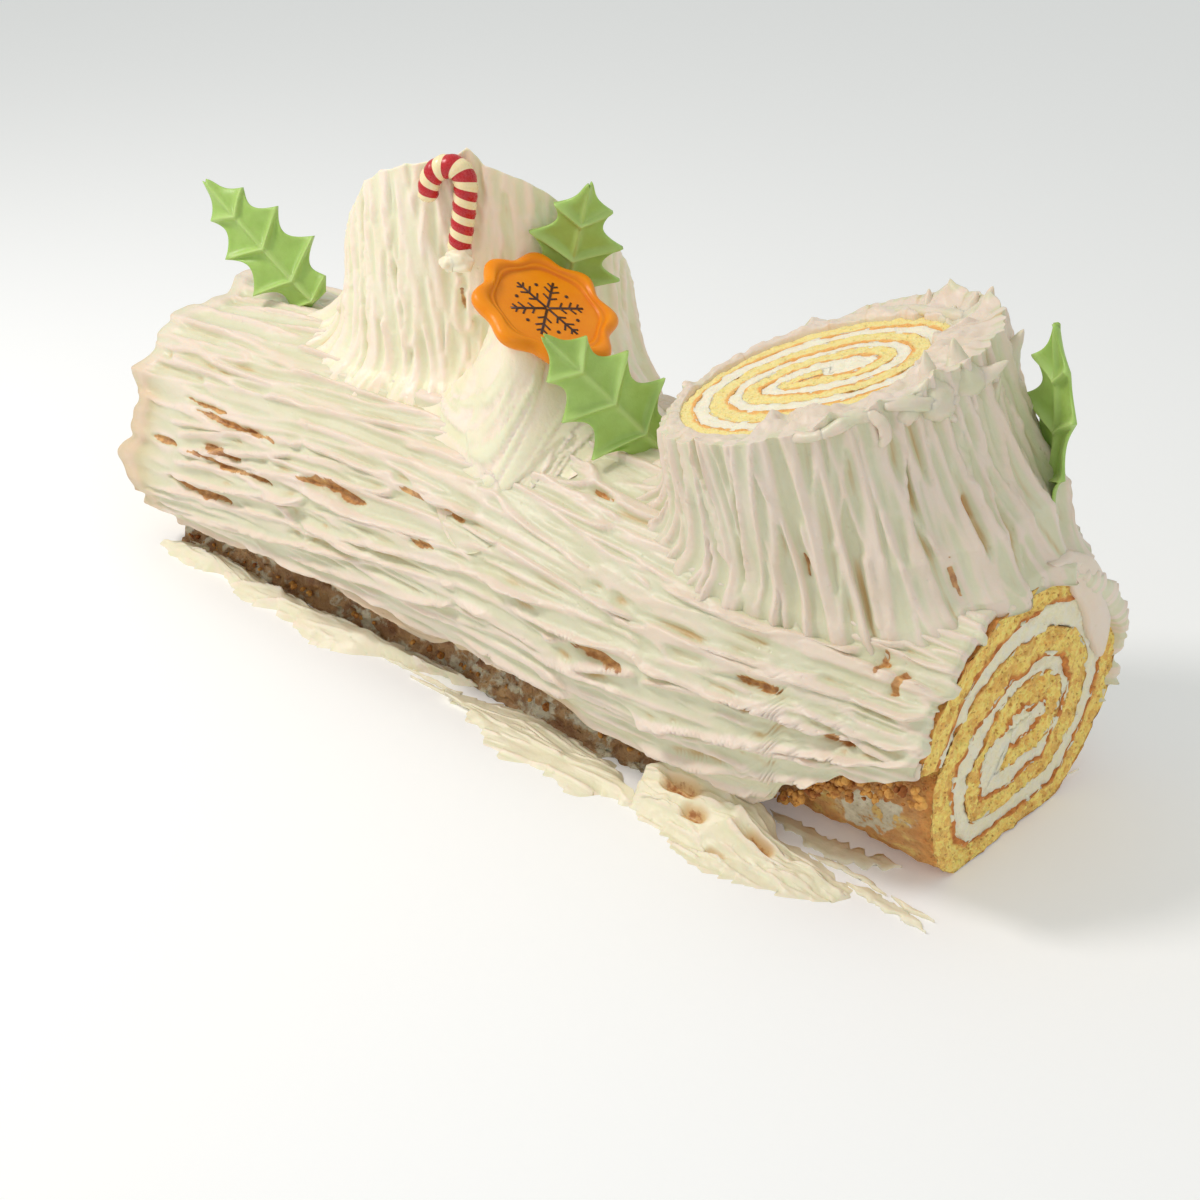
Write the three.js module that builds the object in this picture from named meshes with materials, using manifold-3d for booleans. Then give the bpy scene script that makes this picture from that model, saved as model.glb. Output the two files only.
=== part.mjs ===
// A yule log cake: a cream-coated Swiss roll with two sawn-off stumps of roll standing on it,
// dressed with moulded holly leaves, a seal-shaped plaque and a small candy cane.
//
// Units are millimetres, +Z is up and the cake rests on the plane z = 0.
// +X runs along the log towards the end that was cut last, and the front of the cake is at -Y.
// The origin is on the resting face, under the middle of the log.

import * as THREE from 'three';
import { mergeVertices } from 'three/addons/utils/BufferGeometryUtils.js';
import Module from 'manifold-3d';

const wasm = await Module();
wasm.setup();

// ---------------------------------------------------------------- driving dimensions

const GAP = 0.35;                 // left between pieces that touch
const SEGMENTS_PER_TURN = 20;     // straight steps in one turn of a Swiss roll

// The log lies along X. Its roll is an oval with a flattened bottom that rests on the board.
const LOG = {
  halfLength: 146,
  halfWidth: 44,
  halfHeight: 40,
  flatten: 0.85,                  // the bottom lies this share of the half height below the middle
  sheet: 8.6,                     // thickness of the sponge sheet
  filling: 4.9,                   // thickness of the cream rolled up in it
  core: 5,                        // half width of the flat fold in the middle
  start: 172,                     // where the sheet's loose end lies, in degrees from +p to +q
  sense: -1,                      // the way the sheet winds inwards
  rest: 0.84,                     // share of each turn that keeps its distance from the outline
  tuck: 1.1,                      // how suddenly the sheet then tucks in under the turn before
  squeeze: 3.6,                   // filling pressed out from under the loose end
  turns: 2.8,
  shift: -2,                      // the roll lies this far off the middle of its coat, along Y
  endSlant: [0.08, 0],         // how far the right cut leans, along Y and along Z
};
const LOG_COAT = { body: 7.6, rightEnd: 2.6, leftEnd: 7.0 };

// Each stump is a shorter length of roll, sawn slantwise and stood on the log.
const RIGHT_STUMP = {
  centre: [80.9, -1.1, 109.1],    // middle of the slanted cut
  lean: [-0.27, -0.09, 0.958],    // the stump's axis
  cut: [-0.3, -0.117, 0.947],     // square to the slanted cut
  across: [0.729, 0.612, 0.307],  // the direction that +p follows
  halfWidth: 38.5,
  halfHeight: 37.5,
  sheet: 6.2,
  filling: 4.4,
  core: 4,
  start: -118,
  sense: -1,
  rest: 0,
  tuck: 3,
  squeeze: 0,
  turns: 2.9,
  coat: 5.2,
  strokes: 32,
  flare: [-1.5, 10, 17],          // extra at the foot: front and back, towards +X, towards -X
  flareHeight: 15,
};
const LEFT_STUMP = {
  centre: [-48.6, 16, 99.5],
  lean: [0, 0, 1],
  cut: [-0.399, 0.651, 0.645],
  across: [0.761, 0.649, 0],
  halfWidth: 36.5,
  halfHeight: 29.5,
  sheet: 5.8,
  filling: 4.1,
  core: 7,
  start: 100,
  sense: -1,
  rest: 0,
  tuck: 3,
  squeeze: 0,
  turns: 2.6,
  coat: 4.9,
  strokes: 30,
  flare: [-2.5, 12, 22],
  flareHeight: 17,
};
const STUMP_BED = 2;              // cream under each stump
const STUMP_FOOT = 52;            // height at which a stump's shapes start, inside the log

// A moulded holly leaf. Each spine is [place along the edge, share of the half width].
const LEAF = {
  thickness: 1.5,
  midrib: 0.9,
  wave: 0.9,
  spines: [[0.06, 0.82], [0.29, 1], [0.56, 0.88], [0.79, 0.55], [1, 0]],
  foot: 0.34,                     // share of the half width at the foot
  scallop: 0.4,                   // how deep the edge draws in between spines
  veinSlant: 0.13,                // how far the side veins run up from the midrib
};
// Each leaf is set by its foot, its tip, the way its face looks, its width and its cupping.
const LEAVES = [
  { foot: [-109.5, -1.5, 82.2], tip: [-146.1, -12, 117.3], face: [0.35, -0.8, 0.35], width: 28, cup: 2.5 },
  { foot: [-14, 7.2, 100.5], tip: [-0.9, 6, 140.3], face: [0.75, -0.62, 0.2], width: 30, cup: 2 },
  { foot: [38, -10, 77.8], tip: [14.5, -32, 112.2], face: [0.5, -0.6, 0.5], width: 29, cup: 2.5 },
  { foot: [135.6, 15, 82], tip: [132.7, 15, 131.3], face: [-0.42, -0.9, 0.1], width: 28, cup: -4 },
];

const SEAL = {
  centre: [1.1, -14.6, 110.1],
  face: [0.49, -0.07, 0.87],
  radius: 19.8,
  rim: 5.0,
  rimHeight: 4.6,
  recess: 3.0,
  lobes: 8,
  wobble: 1.3,
};
const SEAL_BED = { top: 12, foot: 21, at: [-6, -3], low: 72, waistIn: 0.7, waistUp: 0.45 };

// The cane's middle line, seen square on, from the end of its hook to the foot of its shaft.
const CANE = {
  centre: [-30.2, -17.3, 134.8],
  face: [0.5, -0.82, 0.3],
  radius: 3.2,
  tipRadius: 2.7,
  line: [[-6.4, -1.2], [-6.3, 2.6], [-5.1, 6.0], [-2.6, 8.3], [0.6, 8.8], [3.1, 7.2], [4.0, 3.9],
    [3.6, -0.6], [2.9, -5.6], [2.0, -11.0], [1.2, -15.0]],
  sides: 8,
  steps: 26,
};

// Cream spread on the board along the front of the log: outlines on the floor, and heights.
const FOOT_CREAM = [
  { name: 'foot_cream_left', height: 3.4, outline: [[-149, -42], [-140, -36], [-118, -35], [-84, -36],
    [-52, -37], [-30, -39], [-22, -44], [-32, -50], [-58, -54], [-86, -57], [-104, -53], [-124, -46],
    [-140, -47]] },
  { name: 'foot_cream_middle', height: 2.8, outline: [[-4, -44], [14, -40], [38, -42], [58, -46],
    [60, -55], [46, -59], [22, -60], [0, -58], [-10, -51]] },
  { name: 'foot_cream_right', height: 7.2, outline: [[66, -50], [78, -46], [94, -44], [104, -47],
    [116, -49], [131, -50], [133, -57], [116, -62], [96, -66], [80, -67], [70, -62], [63, -56]] },
];

const COLOURS = {
  sponge: 0xe6c96e,
  cream: 0xf4e6d4,
  leaf: 0x9cbc62,
  seal: 0xf19a20,
  cane: 0xd8606a,
};

// ---------------------------------------------------------------- small helpers

const vec = (a) => new THREE.Vector3(...a);
const radians = THREE.MathUtils.degToRad;
const smooth = THREE.MathUtils.smoothstep;

// A repeatable random number from 0 to 1 for each pair of whole numbers.
function chance(i, j = 0) {
  const s = Math.sin(i * 127.1 + j * 311.7 + 17.3) * 43758.5453;
  return s - Math.floor(s);
}

// The same, running smoothly along t.
function drift(t, row) {
  const i = Math.floor(t);
  const f = smooth(t - i, 0, 1);
  return THREE.MathUtils.lerp(chance(i, row), chance(i + 1, row), f);
}

// A smooth bump of height 1 round one direction, fading over some width in radians.
function bump(angle, at, width) {
  const off = Math.atan2(Math.sin(angle - at), Math.cos(angle - at));
  return Math.exp(-((off / width) ** 2));
}

// Equal steps round a full turn.
const turnSteps = (count) => Array.from({ length: count }, (_, i) => i / count * 2 * Math.PI);
const circleDrawing = (count) => turnSteps(count).map((t) => new THREE.Vector2(Math.cos(t), Math.sin(t)));

function toManifold(points, triangles) {
  const geometry = new THREE.BufferGeometry();
  geometry.setAttribute('position', new THREE.Float32BufferAttribute(points, 3));
  geometry.setIndex(triangles);
  const merged = mergeVertices(geometry, 1e-4);
  return new wasm.Manifold(new wasm.Mesh({
    numProp: 3,
    vertProperties: new Float32Array(merged.attributes.position.array),
    triVerts: new Uint32Array(merged.index.array),
  }));
}

// A solid through a list of rings with equal numbers of points. The rings run anticlockwise as
// seen from the last one, and the outline of each end is split by its own flat drawing.
function loft(rings, flat) {
  const n = rings[0].length;
  const points = rings.flat().flatMap((p) => [p.x, p.y, p.z]);
  const triangles = [];
  for (let r = 0; r + 1 < rings.length; r++) {
    for (let i = 0; i < n; i++) {
      const a = r * n + i;
      const b = r * n + (i + 1) % n;
      triangles.push(a, b, b + n, a, b + n, a + n);
    }
  }
  const last = (rings.length - 1) * n;
  for (const [a, b, c] of THREE.ShapeUtils.triangulateShape(flat, [])) {
    triangles.push(a, c, b, last + a, last + b, last + c);
  }
  return toManifold(points, triangles);
}

// ---------------------------------------------------------------- Swiss rolls

// A roll's own frame: p and q across it, w along it.
function rollFrame(roll) {
  const w = vec(roll.lean).normalize();
  const p = vec(roll.across).addScaledVector(w, -vec(roll.across).dot(w)).normalize();
  const q = new THREE.Vector3().crossVectors(w, p);
  const origin = vec(roll.centre);
  const cut = vec(roll.cut).normalize();
  return {
    at: (a, b, h) => origin.clone().addScaledVector(p, a).addScaledVector(q, b).addScaledVector(w, h),
    // height along w of the slanted cut over a point of the cross section
    cutHeight: (a, b) => -(a * p.dot(cut) + b * q.dot(cut)) / w.dot(cut),
    p,
    q,
    w,
    cut,
  };
}

// How far the sheet has wound in after some turns from its loose end.
function inset(roll, turn) {
  const whole = Math.floor(turn);
  const part = Math.max(0, (turn - whole - roll.rest) / (1 - roll.rest));
  const pressed = roll.squeeze * Math.exp(-(((turn - 1) / 0.07) ** 2));
  return (whole + part ** roll.tuck) * (roll.sheet + roll.filling) - pressed;
}

// A point of the cross section, some turns from the loose end and some way into the sheet.
function rollPoint(roll, turn, depth) {
  const high = Math.max(0.35, roll.halfHeight - inset(roll, turn) - depth);
  const wide = roll.core + (roll.halfWidth - roll.core) * high / roll.halfHeight;
  const angle = radians(roll.start) + roll.sense * turn * 2 * Math.PI;
  return [wide * Math.cos(angle), Math.max(high * Math.sin(angle), -(roll.flatten ?? 2) * high)];
}

// Points along a curve of the cross section, from one turn to another. All curves have their
// corners at the same places of a turn, so that curves side by side run parallel.
function winding(from, to, point) {
  const [low, high] = from < to ? [from, to] : [to, from];
  const along = [low];
  for (let i = Math.floor(low * SEGMENTS_PER_TURN + 0.01) + 1; i < high * SEGMENTS_PER_TURN - 0.01; i++) {
    along.push(i / SEGMENTS_PER_TURN);
  }
  along.push(high);
  return (from < to ? along : along.reverse()).map(point);
}

function anticlockwise(outline) {
  const flat = outline.map(([a, b]) => new THREE.Vector2(a, b));
  return THREE.ShapeUtils.isClockWise(flat) ? outline.slice().reverse() : outline;
}

// The roll's outer surface, let out by some amount, as a closed outline.
function rollOutline(roll, extra) {
  const points = [];
  for (let i = -1; i <= SEGMENTS_PER_TURN; i++) {
    points.push(rollPoint(roll, Math.max(i, -0.35) / SEGMENTS_PER_TURN, -extra));
  }
  return anticlockwise(points);
}

// A straight prism over an outline, between two heights that may change over the cross section.
function prism(frame, outline, low, high) {
  const flat = outline.map(([a, b]) => new THREE.Vector2(a, b));
  const ring = (height) => outline.map(([a, b]) => frame.at(a, b, height(a, b)));
  return loft([ring(low), ring(high)], flat);
}

// The sponge sheet, and the filling between each turn of it and the next. Inside the sheet's inner
// end the filling runs on to the fold in the middle.
function rollLayers(roll, frame, low, high) {
  const sheet = anticlockwise([
    ...winding(0, roll.turns, (t) => rollPoint(roll, t, 0)),
    ...winding(roll.turns, 0, (t) => rollPoint(roll, t, roll.sheet)),
  ]);
  const innerEnd = roll.turns - 1 + 0.03;
  const lastTurn = roll.turns - 0.06;
  const filling = anticlockwise([
    ...winding(0, lastTurn, (t) => rollPoint(roll, t, roll.sheet + GAP)),
    ...winding(lastTurn, innerEnd, (t) => rollPoint(roll, t, roll.halfHeight)),
    ...winding(innerEnd, 0, (t) => rollPoint(roll, t + 1, -GAP)),
  ]);
  return {
    sponge: prism(frame, sheet, low, high),
    filling: prism(frame, filling, low, high),
  };
}

// ---------------------------------------------------------------- the log

const LOG_MIDDLE = LOG.halfHeight * LOG.flatten;   // height of the roll's middle above the board
const logFrame = {
  at: (a, b, h) => new THREE.Vector3(h, a + LOG.shift, b + LOG_MIDDLE),
};
const logRight = (a, b) => LOG.halfLength + LOG.endSlant[0] * a + LOG.endSlant[1] * b;
const logLeft = () => -LOG.halfLength;
const logLayers = rollLayers(LOG, logFrame, logLeft, logRight);

// The log's roll with room round it, which its coat is cut away from.
const logRoom = prism(logFrame, rollOutline(LOG, GAP), () => -LOG.halfLength - GAP,
  (a, b) => logRight(a, b) + GAP);
// The log with a layer of cream on it, which the stumps stand on.
const logCreamed = (extra) => prism(logFrame, rollOutline(LOG, STUMP_BED + extra), () => -200, () => 200);

// The coat's lower edge along the front, as heights above the board at places along the log.
const FRONT_EDGE = [[-155, 12], [-122, 9.5], [-60, 12], [-16, 14.5], [30, 11], [52, 8.8], [80, 8.6],
  [100, 9.5], [108, 22], [120, 31], [150, 41]];
const BACK_EDGE = [[-155, 12], [-90, 9], [-20, 13], [50, 10], [110, 12], [150, 22]];

function alongEdge(edge, x) {
  const next = edge.findIndex(([at]) => at > x);
  const [x0, z0] = edge[next - 1];
  const [x1, z1] = edge[next];
  return THREE.MathUtils.lerp(z0, z1, (x - x0) / (x1 - x0));
}

// Lengthwise strokes of the palette knife: crests and troughs that swell and fade along the log.
const LOG_STROKES = 36;
const LOG_STATIONS = 20;
const FLAP_AT = 0.75;             // where a flap of cream hangs over the right cut, in radians from +Y

function logCoat() {
  const count = LOG_STROKES * 2 + 1;
  const rings = [];
  for (let s = 0; s <= LOG_STATIONS; s++) {
    const along = s / LOG_STATIONS;
    const x = THREE.MathUtils.lerp(-LOG.halfLength, LOG.halfLength, along);
    const thick = LOG_COAT.body
      + (LOG_COAT.rightEnd - LOG_COAT.body) * smooth(x, 70, 143)
      + (LOG_COAT.leftEnd - LOG_COAT.body) * smooth(-x, 120, 146);
    const edgeAngle = (z, c) => Math.asin((z - LOG_MIDDLE) / (LOG.halfHeight + c));
    const back = edgeAngle(alongEdge(BACK_EDGE, x), thick);
    const front = Math.PI - edgeAngle(alongEdge(FRONT_EDGE, x), thick);
    const ring = [];
    for (let i = 0; i < count; i++) {
      const angle = THREE.MathUtils.lerp(back, front, i / (count - 1));
      const crest = i % 2 ? 0.5 + 1.5 * drift(x / 34 + 9 * chance(i), i) : -0.9 * drift(x / 50, i);
      const edge = i === 0 || i === count - 1 ? -1.5 : 0;
      const thin = 1.8 * bump(angle, 0.9, 0.7) * smooth(x, 90, 140);
      const c = thick * (1 - 0.12 * smooth(angle, 3.2, 3.8)) + crest + edge - thin;
      const a = (LOG.halfWidth + c) * Math.cos(angle);
      const b = (LOG.halfHeight + c) * Math.sin(angle);
      // the ends overhang the cuts a little, most of all in the flap at the back of the right end
      const overhang = 3.2 * bump(angle, FLAP_AT, 0.42) - 1.6 + 1.6 * drift(i / 3, 77);
      const rightReach = smooth(x, 120, LOG.halfLength) * overhang;
      const leftReach = smooth(-x, 130, LOG.halfLength) * (3.4 + 1.4 * drift(i / 4, 78));
      const slant = smooth(x, 60, LOG.halfLength) * (logRight(a, b) - LOG.halfLength);
      ring.push(new THREE.Vector3(x + slant + rightReach - leftReach, a, b + LOG_MIDDLE));
    }
    rings.push(ring);
  }
  const flat = rings[0].map((v) => new THREE.Vector2(v.y, v.z));
  return loft(rings, flat);
}

// What shows of a cut face: the roll's outline, drawn in where the coat laps over it.
function windowOutline(roll, lap) {
  return rollOutline(roll, 0).map(([a, b]) => {
    const share = 1 - lap(Math.atan2(b, a)) / Math.hypot(a, b);
    return [a * share, b * share];
  });
}

const logRightWindow = prism(logFrame,
  windowOutline(LOG, (angle) => 15.5 * bump(angle, FLAP_AT, 0.5) - 9),
  (a, b) => logRight(a, b) - 0.5, () => 200);
const logLeftWindow = prism(logFrame,
  windowOutline(LOG, (angle) => 6 + 1.5 * Math.sin(3 * angle)),
  () => -200, () => 1 - LOG.halfLength);

// ---------------------------------------------------------------- the stumps

function stump(roll) {
  const frame = rollFrame(roll);
  const foot = () => STUMP_FOOT - roll.centre[2];
  const layers = rollLayers(roll, frame, foot, frame.cutHeight);
  const room = prism(frame, rollOutline(roll, GAP), foot, (a, b) => frame.cutHeight(a, b) + GAP);
  return {
    frame,
    sponge: layers.sponge.subtract(logCreamed(GAP)),
    filling: layers.filling.subtract(logCreamed(GAP)),
    room: room.subtract(logCreamed(0)),
  };
}

// Shares of the height at which a stump's coat has a ring; the first is hidden inside the log.
const STUMP_LEVELS = [0, 0.1, 0.26, 0.45, 0.72, 0.93, 1];
const STUMP_GROUND = 74;          // height at which the skirt is widest

// A stump's coat: upright strokes that run out into a skirt at the foot, and an uneven lip on top.
function stumpCoat(roll, frame, lip) {
  const count = roll.strokes * 2;
  const oval = (angle, extra) => [(roll.halfWidth + extra) * Math.cos(angle),
    (roll.halfHeight + extra) * Math.sin(angle)];
  const foot = STUMP_FOOT - roll.centre[2];
  const ground = STUMP_GROUND - roll.centre[2];
  const rings = STUMP_LEVELS.map((level) => turnSteps(count).map((angle, i) => {
    const rim = level === 1;
    const crest = i % 2
      ? 0.5 + 1.5 * drift(level * 2.2, i + roll.strokes)
      : -0.7 * drift(level * 2, i);
    const thick = roll.coat * lip.share(angle) + crest * (rim ? 0.2 : 1);
    const plain = oval(angle, thick);
    const top = Math.max(ground + 2, frame.cutHeight(...plain) + lip.height(angle));
    const h = level === 0 ? foot : THREE.MathUtils.lerp(ground, top, (level - 0.1) / 0.9);
    const side = (frame.at(...plain, 0).x - roll.centre[0]) / Math.hypot(...plain);
    const reach = THREE.MathUtils.lerp(roll.flare[0], side > 0 ? roll.flare[1] : roll.flare[2], side ** 2);
    const skirt = reach * Math.exp(-Math.max(0, h - ground) / roll.flareHeight);
    return frame.at(...oval(angle, thick + skirt - (rim ? 1.4 : 0)), h);
  }));
  return loft(rings, circleDrawing(count));
}

const right = stump(RIGHT_STUMP);
const left = stump(LEFT_STUMP);

// Angles run from +p. The back left of the right stump's rim is almost bare, cream stands up at
// its back right and laps over the front of its cut; on the left stump it laps over all round.
const rightLip = {
  height: (angle) => 2.2 * bump(angle, -1.3, 1.1) + 4.5 * bump(angle, 0.7, 0.5)
    + 2.4 * bump(angle, 0, 0.5) - 1.2 * bump(angle, 2.4, 0.8)
    + 2.6 * (drift(angle * 2.6, 31) - 0.4) * (1 - bump(angle, 2.4, 0.7)),
  share: (angle) => 1 + 0.35 * bump(angle, 0.1, 0.7) - 0.72 * bump(angle, 2.5, 0.9),
};
const leftLip = {
  height: (angle) => 1.6 + 2.2 * (drift(angle * 2.6, 41) - 0.4),
  share: () => 1,
};
const rightWindow = prism(right.frame,
  windowOutline(RIGHT_STUMP, (angle) => 9.5 * bump(angle, -1.25, 0.85) - 2.2 + 3.4 * bump(angle, 0.4, 0.6)),
  (a, b) => right.frame.cutHeight(a, b) - 1, () => 60);
const leftWindow = prism(left.frame,
  windowOutline(LEFT_STUMP, (angle) => 3.2 + 2.2 * Math.sin(2 * angle + 1)),
  (a, b) => left.frame.cutHeight(a, b) - 1, () => 80);

// ---------------------------------------------------------------- leaves, seal and cane

// A drawing plane: `up` runs from foot to tip, `out` is the way the face looks.
function plane(origin, up, face) {
  const v = up.clone().normalize();
  const n = face.clone().addScaledVector(v, -face.dot(v)).normalize();
  const u = new THREE.Vector3().crossVectors(v, n);
  return (a, b, c) => origin.clone().addScaledVector(u, a).addScaledVector(v, b).addScaledVector(n, c);
}

// Stations from the leaf's foot to its tip: a place along the edge, the half width there and the
// place along the midrib that it is joined to. The edge draws in between each spine and the next.
function leafStations() {
  const stations = [];
  let [fromT, fromHalf] = [0, LEAF.foot];
  for (const [toT, toHalf] of LEAF.spines) {
    for (const share of fromT === 0 ? [0] : [0, 0.3, 0.7]) {
      const t = THREE.MathUtils.lerp(fromT, toT, share);
      const drawn = 1 - LEAF.scallop * Math.sin(Math.PI * share);
      stations.push({ t, half: THREE.MathUtils.lerp(fromHalf, toHalf, share) * drawn });
    }
    [fromT, fromHalf] = [toT, toHalf];
  }
  stations.push({ t: 0.985, half: 0.03 });
  return stations.map(({ t, half }) => ({
    t,
    half,
    root: Math.max(0, t - LEAF.veinSlant * Math.sqrt(Math.sin(Math.PI * t))),
  }));
}

// Both faces of the leaf share one net of points, let out by half the thickness.
function leaf(spec, extra = 0) {
  const foot = vec(spec.foot);
  const tip = vec(spec.tip);
  const length = foot.distanceTo(tip) + extra;
  const place = plane(foot, tip.clone().sub(foot), vec(spec.face));
  const columns = [-1, -0.5, 0, 0.5, 1];
  const stations = leafStations();
  const face = (side) => stations.flatMap(({ t, half, root }) => columns.map((k) => {
    const a = k * (half * spec.width / 2 + extra);
    const b = THREE.MathUtils.lerp(root, t, Math.abs(k)) * length;
    const cupped = spec.cup * (0.8 * Math.sin(Math.PI * t) - Math.abs(k) * half);
    const wave = LEAF.wave * Math.sin(9 * t + 2.4 * k) * Math.abs(k);
    const rib = k === 0 && side > 0 ? LEAF.midrib : 0;
    return place(a, b, cupped + wave + rib + side * (LEAF.thickness / 2 + extra));
  }));
  const points = [...face(1), ...face(-1)];
  const w = columns.length;
  const half = stations.length * w;
  const triangles = [];
  for (let r = 0; r + 1 < stations.length; r++) {
    for (let k = 0; k + 1 < w; k++) {
      const a = r * w + k;
      const quad = k < w / 2 - 1
        ? [a, a + 1, a + w, a + 1, a + w + 1, a + w]
        : [a, a + 1, a + w + 1, a, a + w + 1, a + w];
      triangles.push(...quad);
      triangles.push(...quad.map((i) => i + half).reverse());
    }
  }
  const border = [];
  for (let k = 0; k < w; k++) border.push(k);
  for (let r = 1; r < stations.length; r++) border.push(r * w + w - 1);
  for (let k = w - 2; k >= 0; k--) border.push((stations.length - 1) * w + k);
  for (let r = stations.length - 2; r > 0; r--) border.push(r * w);
  border.forEach((a, i) => {
    const b = border[(i + 1) % border.length];
    triangles.push(a, a + half, b + half, a, b + half, b);
  });
  return toManifold(points.flatMap((p) => [p.x, p.y, p.z]), triangles);
}

// A round plaque like pressed sealing wax: a lobed rim round a sunken field.
function seal(extra = 0) {
  const place = plane(vec(SEAL.centre), new THREE.Vector3(0, 1, 0), vec(SEAL.face));
  const around = 40;
  const ring = (radius, height, share) => turnSteps(around).map((angle) => {
    const lobe = SEAL.wobble * share * (Math.sin(SEAL.lobes * angle) + 0.35 * Math.sin(3 * angle + 1));
    return place((radius + lobe) * Math.cos(angle), (radius + lobe) * Math.sin(angle), height);
  });
  const r = SEAL.radius + extra;
  const field = SEAL.radius - SEAL.rim;
  const half = SEAL.rimHeight / 2;
  const top = half + extra;
  const floor = extra ? top : half - (SEAL.rimHeight - SEAL.recess);
  const rings = [
    ring(r - 2.5, -half - extra, 1),
    ring(r, -half + 1.4, 1),
    ring(r, half - 1.2, 1),
    ring(r - 1.6, top, 1),
    ring(field + 1.4, top, 0.35),
    ring(field, floor, 0.2),
  ];
  return loft(rings, circleDrawing(around));
}

// The cream that carries the seal, a mound from the log up to the seal's back.
function sealBed() {
  const around = 24;
  const place = plane(vec(SEAL.centre), new THREE.Vector3(0, 1, 0), vec(SEAL.face));
  const [x, y] = SEAL_BED.at;
  const uneven = (angle) => 1 + 0.09 * Math.sin(3 * angle) + 0.06 * Math.sin(5 * angle + 2);
  const low = turnSteps(around).map((angle) => new THREE.Vector3(
    x + SEAL_BED.foot * uneven(angle) * Math.cos(angle),
    y + SEAL_BED.foot * uneven(angle) * Math.sin(angle) * 0.9,
    SEAL_BED.low,
  ));
  const top = turnSteps(around).map((angle) => {
    const r = SEAL_BED.top * uneven(angle);
    return place(r * Math.cos(angle), r * Math.sin(angle), 0);
  });
  const waist = low.map((p, i) => new THREE.Vector3(
    THREE.MathUtils.lerp(p.x, top[i].x, SEAL_BED.waistIn),
    THREE.MathUtils.lerp(p.y, top[i].y, SEAL_BED.waistIn),
    THREE.MathUtils.lerp(p.z, top[i].z, SEAL_BED.waistUp),
  ));
  return loft([low, waist, top], low.map((p) => new THREE.Vector2(p.x, p.y)));
}

// A round stick bent into a hook, thinner at the hook's end.
function cane(extra = 0) {
  const place = plane(vec(CANE.centre), new THREE.Vector3(0, 0, 1), vec(CANE.face));
  const line = new THREE.CatmullRomCurve3(CANE.line.map(([a, b]) => new THREE.Vector3(a, b, 0)));
  const rings = [];
  for (let s = 0; s <= CANE.steps; s++) {
    const t = s / CANE.steps;
    const middle = line.getPointAt(t);
    const ahead = line.getTangentAt(t);
    const swell = THREE.MathUtils.lerp(CANE.tipRadius, CANE.radius, smooth(t, 0, 0.35));
    const end = Math.min(s, CANE.steps - s) === 0 ? 0.62 : 1;
    const r = swell * end + extra;
    rings.push(turnSteps(CANE.sides).map((angle) => {
      const side = r * Math.cos(angle);
      return place(middle.x - ahead.y * side, middle.y + ahead.x * side, r * Math.sin(angle));
    }));
  }
  return loft(rings, circleDrawing(CANE.sides));
}

// ---------------------------------------------------------------- cream on the board

const FOOT_STEPS = 30;

// A smear with a low edge and a crest along its middle.
function footCream(spec, row) {
  const curve = new THREE.CatmullRomCurve3(spec.outline.map(([x, y]) => new THREE.Vector3(x, y, 0)), true);
  const edge = curve.getSpacedPoints(FOOT_STEPS).slice(0, FOOT_STEPS);
  const flat = edge.map((p) => new THREE.Vector2(p.x, p.y));
  if (THREE.ShapeUtils.isClockWise(flat)) {
    edge.reverse();
    flat.reverse();
  }
  const middleX = spec.outline.reduce((sum, [x]) => sum + x, 0) / spec.outline.length;
  const middleY = spec.outline.reduce((sum, [, y]) => sum + y, 0) / spec.outline.length;
  const drawnIn = (p, along, across, height) => new THREE.Vector3(
    THREE.MathUtils.lerp(p.x, middleX, along),
    THREE.MathUtils.lerp(p.y, middleY, across),
    height,
  );
  const rings = [
    edge,
    edge.map((p, i) => drawnIn(p, 0.01, 0.1, spec.height * (0.25 + 0.2 * chance(i, row)))),
    edge.map((p, i) => drawnIn(p, 0.06, 0.55, spec.height * (0.6 + 0.4 * chance(i, row + 9)))),
  ];
  return loft(rings, flat);
}

// ---------------------------------------------------------------- the cream coat, in one piece

const coatOuter = [
  stumpCoat(RIGHT_STUMP, right.frame, rightLip),
  stumpCoat(LEFT_STUMP, left.frame, leftLip),
  sealBed(),
].reduce((whole, piece) => whole.add(piece), logCoat());

const coat = [
  logRoom, logRightWindow, logLeftWindow, right.room, rightWindow, left.room, leftWindow,
  seal(GAP), cane(GAP), ...LEAVES.map((spec) => leaf(spec, GAP)),
].reduce((whole, cutter) => whole.subtract(cutter), coatOuter);

// ---------------------------------------------------------------- the model

const cake = new THREE.Group();
cake.name = 'yule_log_cake';

function add(name, solid, colour, roughness) {
  const { vertProperties, triVerts } = solid.getMesh();
  const geometry = new THREE.BufferGeometry();
  geometry.setAttribute('position', new THREE.BufferAttribute(vertProperties, 3));
  geometry.setIndex(new THREE.BufferAttribute(triVerts, 1));
  geometry.computeVertexNormals();
  const material = new THREE.MeshStandardMaterial({ color: colour, roughness, metalness: 0 });
  const mesh = new THREE.Mesh(geometry, material);
  mesh.name = name;
  cake.add(mesh);
}

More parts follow.
